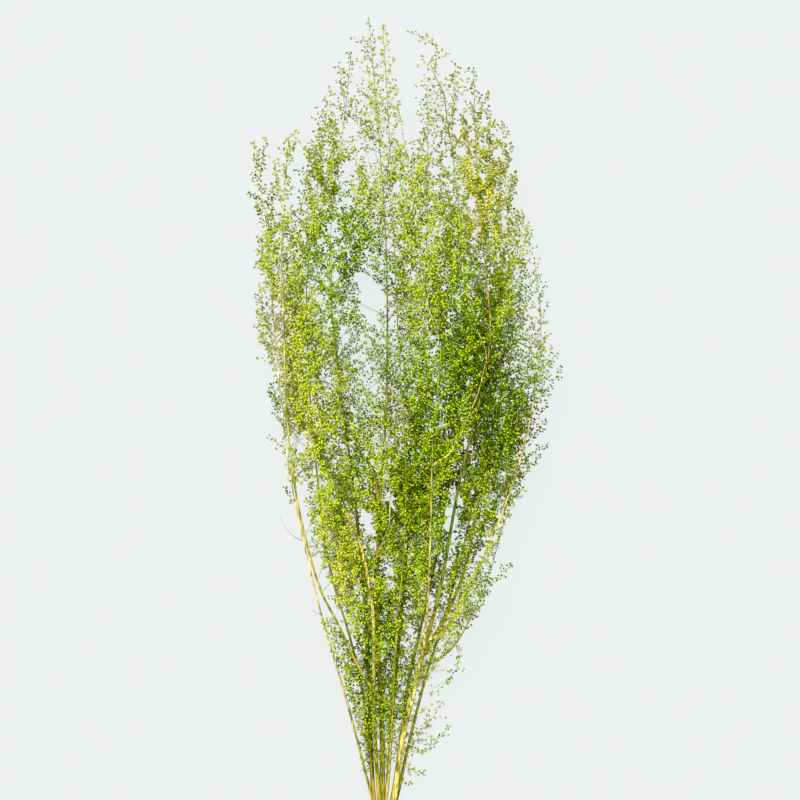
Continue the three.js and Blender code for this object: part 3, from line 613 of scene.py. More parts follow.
def sprays_of(stem, stem_index, limbs):
    """The side branches of a stem that have a way of their own."""
    sprays = []
    for index, spray in enumerate(stem.get("sprays", ())):
        path = smooth([root_of(spray, limbs), *to_points(spray["way"])], BRANCH_STEP)
        sprays.append(Stalk(stem_index * LIMBS_A_STEM + index, 1, path, BRANCH_RADII,
                            (YOUNG_BARK, LEAF_GREEN), is_free=True, is_bare=spray["bare"]))
    return sprays


def shoot(root, heading, turn, length, leans):
    """A side shoot leaves its parent sideways and turns up along it, a step for each lean angle."""
    across = heading.cross(Vector((0, 0, 1))).normalized()
    over = across.cross(heading)
    side = across * math.cos(turn) + over * math.sin(turn) * BRANCH_FLATNESS
    path = [root]
    for lean in leans:
        step = heading * math.cos(lean) + side * math.sin(lean)
        point = path[-1] + step.normalized() * (length / len(leans))
        path.append(lifted(point, FLOOR_CLEARANCE))
    return path


def shoot_inside(root, heading, turn, length, leans):
    """The first of a few turns and lengths of a shoot that keeps inside the bunch."""
    if is_in_window(root):
        return None
    for extra_turn, share in SHOOT_TRIES:
        path = shoot(root, heading, turn + extra_turn, length * share, leans)
        halfway = [a.lerp(b, 0.5) for a, b in zip(path[1:], path[2:])]
        if all(is_inside(point) for point in path[1:] + halfway):
            return path
    return None


def ends_of(stem, trunk):
    """The pale wood and pith of a trunk's cut end, and the splinters of a snapped one."""
    foot, away = trunk.path[0], (trunk.path[0] - trunk.path[1]).normalized()
    ends = []
    for share, depth, colour in CUT_DISCS:
        radius = share * trunk.radii[0]
        ends.append(Stalk(trunk.seed, 0, [foot, foot + away * depth], (radius, radius),
                          (colour, colour)))
    if stem["name"] == "stem_snapped":
        tip, along = trunk.at(trunk.length)
        for index in range(SPLINTERS):
            side = sideways(along, index * GOLDEN_ANGLE, 0)
            foot = tip + side * (SPLINTER_RING * trunk.radii[1])
            reach = mix(*SPLINTER_LENGTH, noise(trunk.seed, index, SPLINTER_KEY))
            ends.append(Stalk(trunk.seed, 1, [foot - along, foot + along * reach],
                              SPLINTER_RADII, (GOLD, CUT_WOOD)))
    return ends


def branches_of(limb):
    """The side branches of a limb: long at its foot and short towards its tip."""
    branches = []
    distance = limb.leafy_from
    index = 0
    while distance < limb.length - 2 * HEAD_RADIUS:
        fullness = min(1, (limb.length - distance) / SPIRE_LENGTH) ** SPIRE_POWER
        vigour = mix(*BRANCH_VIGOUR, noise(limb.seed, index, VIGOUR_KEY))
        length = mix(BRANCH_SHORTEST, BRANCH_LONGEST, fullness) * vigour
        turn = index * GOLDEN_ANGLE + TURN_JITTER * (noise(limb.seed, index, TURN_KEY) - 0.5)
        bend = mix(*BRANCH_BEND, noise(limb.seed, index, BEND_KEY))
        root, heading = limb.at(distance)
        path = shoot_inside(root, heading, turn, length, [lean * bend for lean in BRANCH_LEAN])
        if path:
            foot = min(BRANCH_RADII[0], BRANCH_TO_LIMB * limb.radius_at(distance))
            bark = limb.bark_at(distance)
            path = [lifted(point, FLOOR_CLEARANCE) for point in smooth(path, BRANCH_STEP)]
            branches.append(Stalk(limb.seed * BRANCHES_A_LIMB + index, 1, path,
                                  (foot, min(foot, BRANCH_RADII[1])),
                                  (mix_colour(bark, YOUNG_BARK, 0.5), YOUNG_BARK)))
        distance += mix(*BRANCH_SPACING, clamp((root.y - SPARSE_UNTIL) / THICKENS_OVER))
        index += 1
    return branches


def twigs_of(branch):
    """The twigs of a side branch."""
    twigs = []
    index = 1 + int(TWIG_FREE_SHARE * branch.length / TWIG_SPACING)
    while index * TWIG_SPACING < branch.length:
        distance = index * TWIG_SPACING
        root, heading = branch.at(distance)
        vigour = mix(*TWIG_LENGTH, noise(branch.seed, index, TWIG_KEY))
        length = vigour * mix(*TWIG_SHRINK, distance / branch.length)
        grow = shoot_inside
        if branch.is_free:
            grow, length = shoot, length * SPRAY_TWIG_SHARE
        path = grow(root, heading, index * GOLDEN_ANGLE, length, TWIG_LEAN)
        if path:
            twigs.append(Stalk(branch.seed * TWIGS_A_BRANCH + index, 2, path, TWIG_RADII,
                               (YOUNG_BARK, YOUNG_BARK), is_free=branch.is_free))
        index += 1
    return twigs


def heads_of(stalk, start, spacing):
    """Flower heads along a stalk from a distance on, and one at its tip: (place, heading, key)."""
    heads = []
    index = 0
    distance = start
    while distance < stalk.length:
        place, along = stalk.at(distance)
        turn = index * GOLDEN_ANGLE + HEAD_TURN_JITTER * noise(stalk.seed, index, HEAD_TURN_KEY)
        heading = sideways(along, turn, HEAD_LEAN)
        stand = HEAD_STALK * noise(stalk.seed, index, STAND_KEY)
        heads.append((place + heading * stand, heading, (stalk.seed, index)))
        step = mix(*HEAD_SPACING_JITTER, noise(stalk.seed, index, PLACE_KEY))
        distance += step * spacing / density_at(place)
        index += 1
    tip, along = stalk.at(stalk.length)
    heads.append((tip, along, (stalk.seed, index)))
    return [(lifted(place, LOWEST_HEAD), raised(place, heading, HEAD_REACH), key)
            for place, heading, key in heads
            if stalk.is_free or stalk.order == 0 or is_inside(place)]


def sideways(along, turn, lean):
    """A heading that points to one side of a stalk, and leans forward along it."""
    across = along.cross(Vector((0, 0, 1))).normalized()
    side = across * math.cos(turn) + across.cross(along) * math.sin(turn)
    return (along * lean + side).normalized()


def lifted(place, lowest):
    """The place, raised where it is nearer to the floor than it may be."""
    return Vector((place.x, place.y, max(place.z, lowest)))


def raised(place, heading, reach):
    """The heading, turned upwards where it would point at the floor from close above it."""
    if place.z + heading.z * reach < LOWEST_HEAD:
        return Vector((heading.x, heading.y, abs(heading.z) + LEAST_RISE)).normalized()
    return heading


def leaves_of(branches):
    """Dried leaves along the lower part of the side branches: (place, heading, key)."""
    leaves = []
    for branch in branches:
        count = 1 + int(branch.length / LEAVES_EVERY)
        for index in range(count):
            place, along = branch.at(branch.length * LEAVES_UP_TO * index / count)
            turn = index * GOLDEN_ANGLE + math.tau * noise(branch.seed, index, LEAF_TURN_KEY)
            heading = raised(place, sideways(along, turn, LEAF_LEAN), LEAF_REACH)
            if is_leafy(place) and is_inside(place + heading * LEAF_LENGTH):
                leaves.append((place, heading, (branch.seed, index, LEAF_KEY)))
    return leaves


def is_leafy(place):
    """Leaves last on the lower branches, and deep inside a little higher up."""
    limit = LEAFY_UNTIL if is_outer(place) else LEAFY_INSIDE_UNTIL
    return place.y < limit and place.z > LOWEST_LEAF


def clear_lines(limbs_by_stem):
    """The points of the limbs' clear stretches, by their y in whole millimetres."""
    lines = {}
    for name, limb, low, high in CLEAR_LIMBS:
        stalk = limbs_by_stem[name][limb]
        for distance in range(int(stalk.length)):
            place, _ = stalk.at(distance)
            if low <= place.y <= high:
                lines.setdefault(round(place.y), []).append((place, stalk.radius_at(distance)))
    return lines


def is_in_front(place, key, lines):
    """True for a head that hangs in front of a clear stretch of limb, seen from above."""
    if noise(*key, CLEAR_KEY) < CLEAR_KEEPS:
        return False
    for behind, radius in lines.get(round(place.y), ()):
        slant = (place.z - behind.z) * (behind.x - VIEW_MIDDLE[0]) / VIEW_DISTANCE
        if place.z > behind.z and abs(place.x - behind.x + slant) < CLEAR_MARGIN + radius:
            return True
    return False


class Growth:
    """All that a stem grows: limbs, branches, twigs, bare shoots, heads and leaves."""

    def __init__(self, stem, stem_index, limbs, lines):
        sprays = sprays_of(stem, stem_index, limbs)
        self.name, self.limbs = stem["name"], limbs
        self.branches = [branch for limb in limbs for branch in branches_of(limb)]
        self.branches += [spray for spray in sprays if not spray.is_bare]
        self.twigs = [twig for branch in self.branches for twig in twigs_of(branch)]
        self.bare = ends_of(stem, limbs[0]) + [spray for spray in sprays if spray.is_bare]
        self.heads = seen_past(self.every_head(), lines)
        self.leaves = seen_past(leaves_of(self.branches), lines)

    def every_head(self):
        heads = []
        for twig in self.twigs:
            heads += heads_of(twig, TWIG_HEADS_FROM * twig.length, HEAD_SPACING)
        for branch in self.branches:
            heads += heads_of(branch, BRANCH_HEADS_FROM * branch.length, HEAD_SPACING)
        for limb in self.limbs:
            start = max(limb.leafy_from, limb.length - LIMB_HEADS_LENGTH)
            heads += heads_of(limb, start, LIMB_HEAD_SPACING)
        return heads


def seen_past(growing, lines):
    """The heads or leaves that leave the clear stretches of limb in view."""
    return [(place, heading, key) for place, heading, key in growing
            if not is_in_front(place, key, lines)]


def grow_all():
    """What every stem grows, in the order of STEMS."""
    limbs_by_stem = {stem["name"]: limbs_of(stem, index) for index, stem in enumerate(STEMS)}
    lines = clear_lines(limbs_by_stem)
    return [Growth(stem, index, limbs_by_stem[stem["name"]], lines)
            for index, stem in enumerate(STEMS)]


class Crowd:
    """How many heads the bunch has about a spot, seen from above."""

    def __init__(self, growths):
        self.counts = {}
        for growth in growths:
            for place, _, _ in growth.heads:
                cell = self.cell(place)
                self.counts[cell] = self.counts.get(cell, 0) + 1

    def cell(self, place, step_x=0, step_y=0):
        return (math.floor(place.x / CROWD_CELL) + step_x,
                math.floor(place.y / CROWD_CELL) + step_y)

    def share(self, place):
        """0 where heads stand alone and 1 where they crowd."""
        nearby = [self.counts.get(self.cell(place, step_x, step_y), 0)
                  for step_x in (-1, 0, 1) for step_y in (-1, 0, 1)]
        return clamp((sum(nearby) / len(nearby) - CROWD[0]) / (CROWD[1] - CROWD[0]))


class Nodes:
    """Adds nodes to a tree: one call takes a node's type, its settings and its sockets, which
    are named with underscores for spaces, or numbered, as i0 for the first."""

    def __init__(self, tree):
        self.tree = tree

    def add(self, kind, settings=None, **sockets):
        node = self.tree.nodes.new(kind)
        for name, value in (settings or {}).items():
            setattr(node, name, value)
        for name, value in sockets.items():
            is_numbered = name[0] == "i" and name[1:].isdigit()
            label = int(name[1:]) if is_numbered else name.replace("_", " ")
            self.feed(node.inputs[label], value)
        return node

    def feed(self, socket, value):
        if isinstance(value, Value):
            value = value.socket
        if isinstance(value, bpy.types.NodeSocket):
            self.tree.links.new(value, socket)
        else:
            socket.default_value = value


class Value:
    """A socket that can be used in sums, so that shader maths reads as plain expressions."""

    def __init__(self, nodes, socket):
        self.nodes, self.socket = nodes, socket

    def math(self, operation, *others, clamped=False):
        node = self.nodes.add("ShaderNodeMath", {"operation": operation, "use_clamp": clamped},
                              i0=self, **{f"i{k + 1}": other for k, other in enumerate(others)})
        return Value(self.nodes, node.outputs[0])

    def __add__(self, other):
        return self.math("ADD", other)

    __radd__ = __add__

    def __mul__(self, other):
        return self.math("MULTIPLY", other)

    __rmul__ = __mul__

    def __sub__(self, other):
        return self.math("SUBTRACT", other)

    def __rsub__(self, other):
        return (self * -1.0) + other

    def clamped(self):
        return self.math("ADD", 0.0, clamped=True)

    def between(self, low, high):
        """0 at low, 1 at high and beyond it."""
        return ((self - low) * (1 / (high - low))).clamped()


class Finish(Nodes):
    """One procedural material, started with its shader."""

    def __init__(self, name, roughness, **constants):
        self.material = bpy.data.materials.new(name)
        self.material.use_nodes = True
        super().__init__(self.material.node_tree)
        self.tree.nodes.clear()
        self.shader = self.add("ShaderNodeBsdfPrincipled", None, Roughness=roughness, **constants)
        self.output = self.add("ShaderNodeOutputMaterial", None, Surface=self.shader.outputs[0])
        self.place = self.add("ShaderNodeTexCoord").outputs["Object"]

    def stretched(self, scale):
        return self.add("ShaderNodeMapping", None, Vector=self.place, Scale=scale).outputs[0]

    def grain(self, vector, scale, detail=3.0):
        node = self.add("ShaderNodeTexNoise", None, Vector=vector, Scale=scale, Detail=detail)
        return Value(self, node.outputs[0])

    def attribute(self, name, output="Fac"):
        node = self.add("ShaderNodeAttribute", {"attribute_name": name})
        return Value(self, node.outputs[output])

    def ramp(self, factor, *stops):
        """Colours by factor: each stop is (position, colour)."""
        node = self.add("ShaderNodeValToRGB", None, Fac=factor)
        while len(node.color_ramp.elements) < len(stops):
            node.color_ramp.elements.new(0.5)
        for element, (position, colour) in zip(node.color_ramp.elements, stops):
            element.position = position
            element.color = (*colour, 1)
        return Value(self, node.outputs[0])

    def blend(self, factor, a, b, mode="MIX"):
        node = self.add("ShaderNodeMix", {"data_type": "RGBA", "blend_type": mode}, i0=factor)
        for socket, value in ((node.inputs[6], a), (node.inputs[7], b)):
            self.feed(socket, (*value, 1) if isinstance(value, tuple) else value)
        return Value(self, node.outputs[2])

    def colour(self, value):
        self.feed(self.shader.inputs["Base Color"], value)

    def bump(self, height, strength, distance):
        node = self.add("ShaderNodeBump", None, Height=height, Strength=strength,
                        Distance=distance)
        self.feed(self.shader.inputs["Normal"], node.outputs[0])


def bark_finish():
    """Dry ribbed bark: each stem's own colour, streaked lengthwise, with blotches and scars."""
    finish = Finish("dry bark", 0.75, Specular_IOR_Level=0.0)
    ribs = finish.grain(finish.stretched((1, 0.05, 1)), 900)
    blotches = finish.grain(finish.stretched((1, 0.35, 1)), 130)
    scars = finish.grain(finish.stretched((1, 0.5, 1)), 60)
    tint = finish.attribute("bark", "Color")
    grooved = finish.blend(ribs.between(0.44, 0.6), tint, GROOVE_TINT, "MULTIPLY")
    ridged = finish.blend(ribs.between(0.46, 0.34), grooved, RIDGE_TINT, "MULTIPLY")
    spotted = finish.blend(blotches.between(0.55, 0.68) * 0.8, ridged, BLOTCH)
    finish.colour(finish.blend(scars.between(0.56, 0.68) * 0.5, spotted, SCAR))
    finish.bump(ribs, 0.5, 0.0003)
    return finish.material


def head_finish():
    """Tiny papery heads, from deep green through yellow-green to straw gold by their tone."""
    finish = Finish("flower heads", 0.9, Specular_IOR_Level=0.0)
    tone = finish.attribute("tone")
    crown = finish.attribute("crown")
    shade = finish.attribute("shade", "Color")
    speckle = finish.grain(finish.place, 900)
    dried = (tone + (speckle - 0.5) * 0.2 + crown * 0.08).clamped()
    colour = finish.ramp(dried, *HEAD_COLOURS)
    # The shade attribute darkens or brightens each head: painted shade inside the bunch, painted
    # light near its sides.
    finish.colour(finish.blend(1.0, colour, shade, "MULTIPLY"))
    finish.bump(speckle, 0.3, 0.0002)
    return finish.material


def leaf_finish():
    """Thread leaves: dull dark green, greyer where they have dried."""
    finish = Finish("thread leaves", 0.9, Specular_IOR_Level=0.0)
    patches = finish.grain(finish.place, 160)
    finish.colour(finish.ramp(patches, *LEAF_COLOURS))
    return finish.material


def rubber_finish():
    """Matt natural rubber, dusted paler on its worn edges."""
    finish = Finish("natural rubber", 0.68)
    dust = finish.grain(finish.place, 700)
    mottle = finish.grain(finish.place, 120)
    base = finish.ramp(mottle, *RUBBER_COLOURS)
    finish.colour(finish.blend(dust.between(0.45, 0.95), base, RUBBER_DUST))
    finish.bump(dust, 0.25, 0.0002)
    return finish.material


def floor_finish():
    """A pale backdrop that glows, so that shadows on it stay faint."""
    finish = Finish("pale floor", 0.9)
    glow = finish.add("ShaderNodeEmission", None, Color=(*FLOOR_COLOUR, 1), Strength=1.0)
    matt = finish.add("ShaderNodeBsdfDiffuse", None, Color=(*FLOOR_COLOUR, 1))
    both = finish.add("ShaderNodeMixShader", None, Fac=FLOOR_SHADE, i1=glow.outputs[0],
                      i2=matt.outputs[0])
    finish.feed(finish.output.inputs["Surface"], both.outputs[0])
    return finish.material


def new_tree(name, *inputs):
    """A geometry tree with a Geometry input and output and the given named inputs."""
    tree = bpy.data.node_groups.new(name, "GeometryNodeTree")
    tree.interface.new_socket("Geometry", in_out="INPUT", socket_type="NodeSocketGeometry")
    for label, kind, value in inputs:
        socket = tree.interface.new_socket(label, in_out="INPUT", socket_type=kind)
        if value is not None:
            socket.default_value = value
    tree.interface.new_socket("Geometry", in_out="OUTPUT", socket_type="NodeSocketGeometry")
    return Nodes(tree), tree.nodes.new("NodeGroupInput")


def attribute_of(nodes, kind, name):
    """A named attribute of the points that a geometry tree works on."""
    return nodes.add("GeometryNodeInputNamedAttribute", {"data_type": kind}, Name=name).outputs[0]


def close_tree(nodes, geometry, material):
    """Ends a geometry tree in real meshes that have their material."""
    real = nodes.add("GeometryNodeRealizeInstances", None, Geometry=geometry)
    coated = nodes.add("GeometryNodeSetMaterial", None, Geometry=real.outputs[0],
                       Material=material)
    nodes.add("NodeGroupOutput", None, Geometry=coated.outputs[0])
    return nodes.tree


def stalk_tree():
    """Sweeps round tubes along the paths: many sides for limbs, few for branches and twigs."""
    nodes, given = new_tree(
        "wormwood stalks",
        ("Limb Sides", "NodeSocketInt", 8), ("Branch Sides", "NodeSocketInt", 5),
        ("Twig Sides", "NodeSocketInt", 3), ("Bark", "NodeSocketMaterial", None))
    order = attribute_of(nodes, "INT", "order")
    radius = attribute_of(nodes, "FLOAT", "radius")
    joined = nodes.add("GeometryNodeJoinGeometry")
    for rank, label in enumerate(("Limb Sides", "Branch Sides", "Twig Sides")):
        chosen = nodes.add("FunctionNodeCompare", {"data_type": "INT", "operation": "EQUAL"},
                           i2=order, i3=rank)
        part = nodes.add("GeometryNodeSeparateGeometry", {"domain": "POINT"},
                         Geometry=given.outputs["Geometry"], Selection=chosen.outputs[0])
        curve = nodes.add("GeometryNodeMeshToCurve", None, Mesh=part.outputs[0])
        section = nodes.add("GeometryNodeCurvePrimitiveCircle", None,
                            Resolution=given.outputs[label], Radius=1.0)
        tube = nodes.add("GeometryNodeCurveToMesh", None, Curve=curve.outputs[0],
                         Profile_Curve=section.outputs[0], Scale=radius, Fill_Caps=True)
        nodes.feed(joined.inputs[0], tube.outputs[0])
    rounded = nodes.add("GeometryNodeSetShadeSmooth", None, Geometry=joined.outputs[0])
    return close_tree(nodes, rounded.outputs[0], given.outputs["Bark"])


def head_tree():
    """Sets one flower head or leaf on every point, turned to the point's heading."""
    nodes, given = new_tree(
        "wormwood heads",
        ("Head", "NodeSocketObject", None), ("Head Size", "NodeSocketFloat", 1.0),
        ("Head Finish", "NodeSocketMaterial", None))
    heading = attribute_of(nodes, "FLOAT_VECTOR", "heading")
    size = attribute_of(nodes, "FLOAT", "size")
    spin = nodes.add("FunctionNodeRandomValue", {"data_type": "FLOAT"}, i2=0.0, i3=math.tau,
                     Seed=HEAD_SPIN_SEED)
    turned = nodes.add("FunctionNodeAlignRotationToVector", {"axis": "Z"}, Vector=heading)
    about = nodes.add("FunctionNodeAxisAngleToRotation", None, Axis=(0, 0, 1),
                      Angle=spin.outputs[1])
    spun = nodes.add("FunctionNodeRotateRotation", {"rotation_space": "LOCAL"},
                     Rotation=turned.outputs[0], Rotate_By=about.outputs[0])
    scale = nodes.add("ShaderNodeMath", {"operation": "MULTIPLY"}, i0=size,
                      i1=given.outputs["Head Size"])
    head = nodes.add("GeometryNodeObjectInfo", None, Object=given.outputs["Head"])
    points = nodes.add("GeometryNodeMeshToPoints", None, Mesh=given.outputs["Geometry"])
    copies = nodes.add("GeometryNodeInstanceOnPoints", None, Points=points.outputs[0],
                       Instance=head.outputs["Geometry"], Rotation=spun.outputs[0],
                       Scale=scale.outputs[0])
    return close_tree(nodes, copies.outputs[0], given.outputs["Head Finish"])


def add_object(name, data):
    """A new object in the scene that holds the given mesh, lamp or camera."""
    item = bpy.data.objects.new(name, data)
    bpy.context.collection.objects.link(item)
    return item


def evaluated(name, source, tree, **inputs):
    """Runs a geometry tree on a source object and keeps the result as a plain mesh piece."""
    modifier = source.modifiers.new("grow", "NODES")
    modifier.node_group = tree
    for item in tree.interface.items_tree:
        key = item.name.replace(" ", "_")
        if item.in_out == "INPUT" and key in inputs:
            modifier[item.identifier] = inputs[key]
    bpy.context.view_layer.update()
    finished = source.evaluated_get(bpy.context.evaluated_depsgraph_get())
    mesh = bpy.data.meshes.new_from_object(finished)
    mesh.name = name
    bpy.data.objects.remove(source)
    return add_object(name, mesh)


def source_object(name, points, edges, **attributes):
    """A bare mesh of points and edges that carries named attributes: (kind, values)."""
    mesh = bpy.data.meshes.new(name)
    mesh.from_pydata(points, edges, [])
    for label, (kind, values) in attributes.items():
        layer = mesh.attributes.new(label, kind, "POINT")
        field = {"FLOAT": "value", "INT": "value", "FLOAT_VECTOR": "vector",
                 "FLOAT_COLOR": "color"}[kind]
        flat = values if field == "value" else [number for value in values for number in value]
        layer.data.foreach_set(field, flat)
    return add_object(name, mesh)


def stalk_piece(name, stalks, tree, material):
    """All the stalks of a stem as one piece."""
    points, edges, orders, radii, barks = [], [], [], [], []
    for stalk in stalks:
        first = len(points)
        for point, mark in zip(stalk.path, stalk.marks):
            points.append(row(point))
            orders.append(stalk.order)
            radii.append(stalk.radius_at(mark) * MM)
            barks.append((*stalk.bark_at(mark), 1))
        edges += [(k, k + 1) for k in range(first, len(points) - 1)]
    source = source_object(name + "_paths", points, edges, order=("INT", orders),
                           radius=("FLOAT", radii), bark=("FLOAT_COLOR", barks))
    return evaluated(name, source, tree, Bark=material)


def smooth_object(name, shape):
    """A bmesh as an object with smooth shading."""
    for face in shape.faces:
        face.smooth = True
    mesh = bpy.data.meshes.new(name)
    shape.to_mesh(mesh)
    shape.free()
    return add_object(name, mesh)


def crowned_object(name, shape, centre, reach):
    """A small shape as an object, with its crown attribute from -1 at its foot to 1 at its top."""
    item = smooth_object(name, shape)
    crown = item.data.attributes.new("crown", "FLOAT", "POINT")
    crown.data.foreach_set("value", [(vertex.co.z - centre) / reach
                                     for vertex in item.data.vertices])
    return item


def spike(shape, foot, tip, radius):
    """Adds a slim three-sided spike from foot to tip."""
    along = (tip - foot).normalized()
    side = along.orthogonal().normalized()
    over = along.cross(side)
    ring = [shape.verts.new(foot + (side * math.cos(k * math.tau / 3)
                                    + over * math.sin(k * math.tau / 3)) * radius)
            for k in range(3)]
    point = shape.verts.new(tip)
    for a, b in zip(ring, ring[1:] + ring[:1]):
        shape.faces.new((a, b, point))


def round_head(name, sides):
    """A round flower head with a belt of sides, which stands on its foot along +Z."""
    shape = bmesh.new()
    reach = HEAD_FULLNESS * HEAD_RADIUS * MM
    belt = [shape.verts.new((reach * math.cos(k * math.tau / sides),
                             reach * math.sin(k * math.tau / sides), reach)) for k in range(sides)]
    top = shape.verts.new((0, 0, HEAD_TOP * reach))
    foot = shape.verts.new((0, 0, HEAD_FOOT * reach))
    for a, b in zip(belt, belt[1:] + belt[:1]):
        shape.faces.new((a, b, top))
        shape.faces.new((b, a, foot))
    return crowned_object(name, shape, reach, reach)


def feather_leaf():
    """A fine-cut leaf: a thread with pairs of thread lobes, along +Z, that curls a little."""
    shape = bmesh.new()
    spike(shape, Vector((0, 0, 0)), Vector((LEAF_CURL, 0, LEAF_LENGTH)), LEAF_THREAD)
    sideways_slant, forward_slant = LOBE_SLANT
    for pair in range(LOBE_PAIRS):
        share = LOBES_FROM + LOBE_STEP * pair
        foot = Vector((LEAF_CURL * share, 0, LEAF_LENGTH * share))
        reach = LOBE_LENGTH - LOBE_SHRINK * pair
        for side in (-1, 1):
            lobe = Vector((LOBE_SWAYS[pair % 2], side * reach * sideways_slant,
                           reach * forward_slant))
            spike(shape, foot, foot + lobe, LOBE_THREAD)
    bmesh.ops.scale(shape, vec=(MM, MM, MM), verts=shape.verts)
    return crowned_object("leaf", shape, LEAF_LENGTH * MM / 2, LEAF_LENGTH * MM / 2)


def tone_of(place, key, crowd):
    """How golden a head is, from 0 for deep green to 1 for straw, by its place and its own luck."""
    tone = TONE_BASE + TONE_LUCK * noise(*key, TONE_KEY)
    branch_luck = noise(key[0] // TWIGS_A_BRANCH, BRANCH_TONE_KEY)
    tone += BRANCH_TONE_LUCK * (branch_luck - BRANCH_TONE_MIDDLE)
    tone += SPIRE_TONE * spire_share(place) + LONELY_TONE * (1 - crowd.share(place))
    # Heads deep inside the bunch get a lower tone as painted shade.
    if not is_outer(place):
        tone += INNER_PAINTED_SHADE_TONE
    # Patches that lower the tone paint shade as well as a greener colour.
    for x, y, reach, change in TONE_AND_SHADE_PATCHES:
        far = math.hypot(place.x - x, (place.y - y) * TONE_AND_SHADE_PATCH_STRETCH) / reach
        tone += change * math.exp(-far * far)
    return clamp(tone)


def shade_of(place, tone, crowd):
    """How bright a head is: painted shade darkens green ones inside the bunch and painted light
    brightens those near its sides, and green ones on the spires and ones that stand alone are made
    darker.
    """
    # Painted light on heads near the bunch's sides, painted shade on heads inside it.
    shade = OUTER_PAINTED_LIGHT if is_outer(place) else INNER_PAINTED_SHADE
    golden = clamp((tone - GOLDEN_TONE) / (1 - GOLDEN_TONE))
    shade = mix(shade * mix(1, SPIRE_SHADE, spire_share(place)), 1, golden)
    shade *= mix(LONELY_SHADE, 1, crowd.share(place))
    return (shade, shade, shade, 1)


def spire_share(place):
    """0 in the body of the bunch and 1 on the spires at its top."""
    return clamp((place.y - SPIRES_FROM) / (SPIRES_FULL - SPIRES_FROM))


def size_of(place, key):
    """The size of a head or leaf, by its own luck, and larger for heads that crowd inside."""
    size = SIZE_LEAST + SIZE_LUCK * noise(*key, SIZE_KEY)
    is_leaf = LEAF_KEY in key[2:]
    if not is_leaf and not is_outer(place):
        size *= clamp(1 + CROWDED_GROWTH * (density_at(place) - 1), *CROWDED_SIZES)
    return size


def set_pieces(name, places, most, tree, material, shape, crowd):
    """Heads or leaves of a stem, each a copy of one small shape, in as many pieces as it takes."""
    share = math.ceil(len(places) / math.ceil(len(places) / most))
    for part, start in enumerate(range(0, len(places), share)):
        chosen = places[start:start + share]
        # Each head's shade carries painted shade and painted light.
        tones = [tone_of(place, key, crowd) for place, _, key in chosen]
        source = source_object(
            name + "_places", [row(place) for place, _, _ in chosen], [],
            heading=("FLOAT_VECTOR", [heading for _, heading, _ in chosen]),
            size=("FLOAT", [size_of(place, key) for place, _, key in chosen]),
            tone=("FLOAT", tones),
            shade=("FLOAT_COLOR", [shade_of(place, tone, crowd)
                                   for (place, _, _), tone in zip(chosen, tones)]))
        piece = evaluated(f"{name}_{part + 1}", source, tree, Head=shape, Head_Finish=material)
        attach(piece, "root")


def dress_stems():
    """Every stem's bark piece stands for its plain node, and its heads and leaves ride with it."""
    stalks_by_tree, heads_by_tree = stalk_tree(), head_tree()
    bark, papery, feathery = bark_finish(), head_finish(), leaf_finish()
    fine = round_head("fine head", FINE_HEAD_SIDES)
    plain = round_head("plain head", PLAIN_HEAD_SIDES)
    leafy = feather_leaf()
    growths = grow_all()
    crowd = Crowd(growths)
    for growth in growths:
        stalks = growth.limbs + growth.branches + growth.twigs + growth.bare
        wood = stalk_piece(growth.name + "_bark", stalks, stalks_by_tree, bark)
        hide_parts(growth.name)
        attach(wood, "root")
        outer = [head for head in growth.heads if is_outer(head[0])]
        inner = [head for head in growth.heads if not is_outer(head[0])]
        for label, places, most, finish, shape in (
                ("_heads", outer, FINE_HEADS_A_PIECE, papery, fine),
                ("_inner_heads", inner, PLAIN_HEADS_A_PIECE, papery, plain),
                ("_leaves", growth.leaves, LEAVES_A_PIECE, feathery, leafy)):
            if places:
                set_pieces(growth.name + label, places, most, heads_by_tree, finish, shape, crowd)
    for shape in (fine, plain, leafy):
        bpy.data.objects.remove(shape)


def squared(value):
    """A sine or cosine, pushed outwards, which turns a round section into a rounded square."""
    return math.copysign(abs(value) ** BAND_SQUARING, value)


def band_section(step):
    """The corners of the strip's section at a step of its winding, pressed flat at the floor."""
    turned = step / BAND_STEPS
    angle = math.tau * turned + BAND_START
    outwards = Vector((math.cos(angle), 0, math.sin(angle)))
    strip, half_thick = BAND_WIDTH / BAND_TURNS, BAND_THICKNESS / 2
    along = clamp(turned, BAND_END_TURN, BAND_TURNS - BAND_END_TURN) * strip - BAND_WIDTH / 2
    corners = []
    for corner in range(BAND_SECTION):
        bend = math.tau * corner / BAND_SECTION
        far = BAND_INNER_RADIUS + half_thick + squared(math.cos(bend)) * half_thick
        middle = Vector((0, along + squared(math.sin(bend)) * strip / 2, BAND_HEIGHT))
        corners.append(row(lifted(middle + outwards * far, 0)))
    return corners


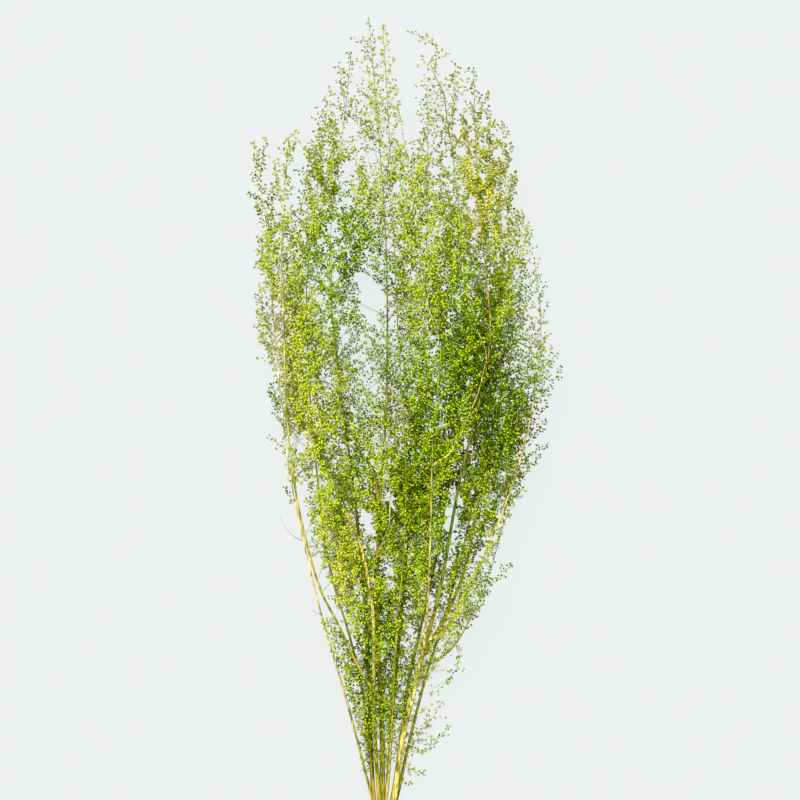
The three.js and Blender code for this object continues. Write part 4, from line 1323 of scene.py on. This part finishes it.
def dress_band():
    """The tie: a flat rubber strip, wound round the sheaf side by side."""
    shape = bmesh.new()
    rings = [[shape.verts.new(corner) for corner in band_section(step)]
             for step in range(BAND_TURNS * BAND_STEPS + 1)]
    for ring, after in zip(rings, rings[1:]):
        for k in range(BAND_SECTION):
            beside = (k + 1) % BAND_SECTION
            shape.faces.new((ring[k], ring[beside], after[beside], after[k]))
    for ring in (rings[0], rings[-1]):
        shape.faces.new(ring)
    bmesh.ops.recalc_face_normals(shape, faces=shape.faces)
    band = smooth_object("elastic_band_wound", shape)
    band.data.materials.append(rubber_finish())
    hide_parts("elastic_band")
    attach(band, "root")


def add_floor():
    corners = [(x * FLOOR_REACH, y * FLOOR_REACH, 0)
               for x, y in ((-1, -1), (1, -1), (1, 1), (-1, 1))]
    mesh = bpy.data.meshes.new("floor")
    mesh.from_pydata(corners, [], [(0, 1, 2, 3)])
    mesh.materials.append(floor_finish())
    floor = add_object("floor", mesh)


def add_light(name, place, size, watts):
    light = bpy.data.lights.new(name, "AREA")
    light.shape, light.size, light.energy = "DISK", size, watts
    item = add_object(name, light)
    item.location = place
    aim = Vector(LIGHTS_AIM) - Vector(place)
    item.rotation_euler = aim.to_track_quat("-Z", "Y").to_euler()


def add_camera():
    """The camera looks straight down, with the whole frame VIEW_WIDTH across at mid height."""
    camera = bpy.data.cameras.new("camera")
    camera.lens = LENS
    camera.sensor_width = SENSOR
    item = add_object("camera", camera)
    middle = row(Vector((*VIEW_MIDDLE, VIEW_HEIGHT)))
    item.location = middle + Vector((0, 0, VIEW_DISTANCE * MM))
    bpy.context.scene.camera = item


def add_world():
    world = bpy.data.worlds.new("studio")
    world.use_nodes = True
    background = world.node_tree.nodes["Background"]
    background.inputs["Color"].default_value = (*SKY_COLOUR, 1)
    background.inputs["Strength"].default_value = SKY_STRENGTH
    bpy.context.scene.world = world


dress_stems()
dress_band()
add_floor()
add_world()
add_light("key", *KEY_LIGHT)
add_light("fill", *FILL_LIGHT)
add_camera()
bpy.context.scene.view_settings.view_transform = "Standard"
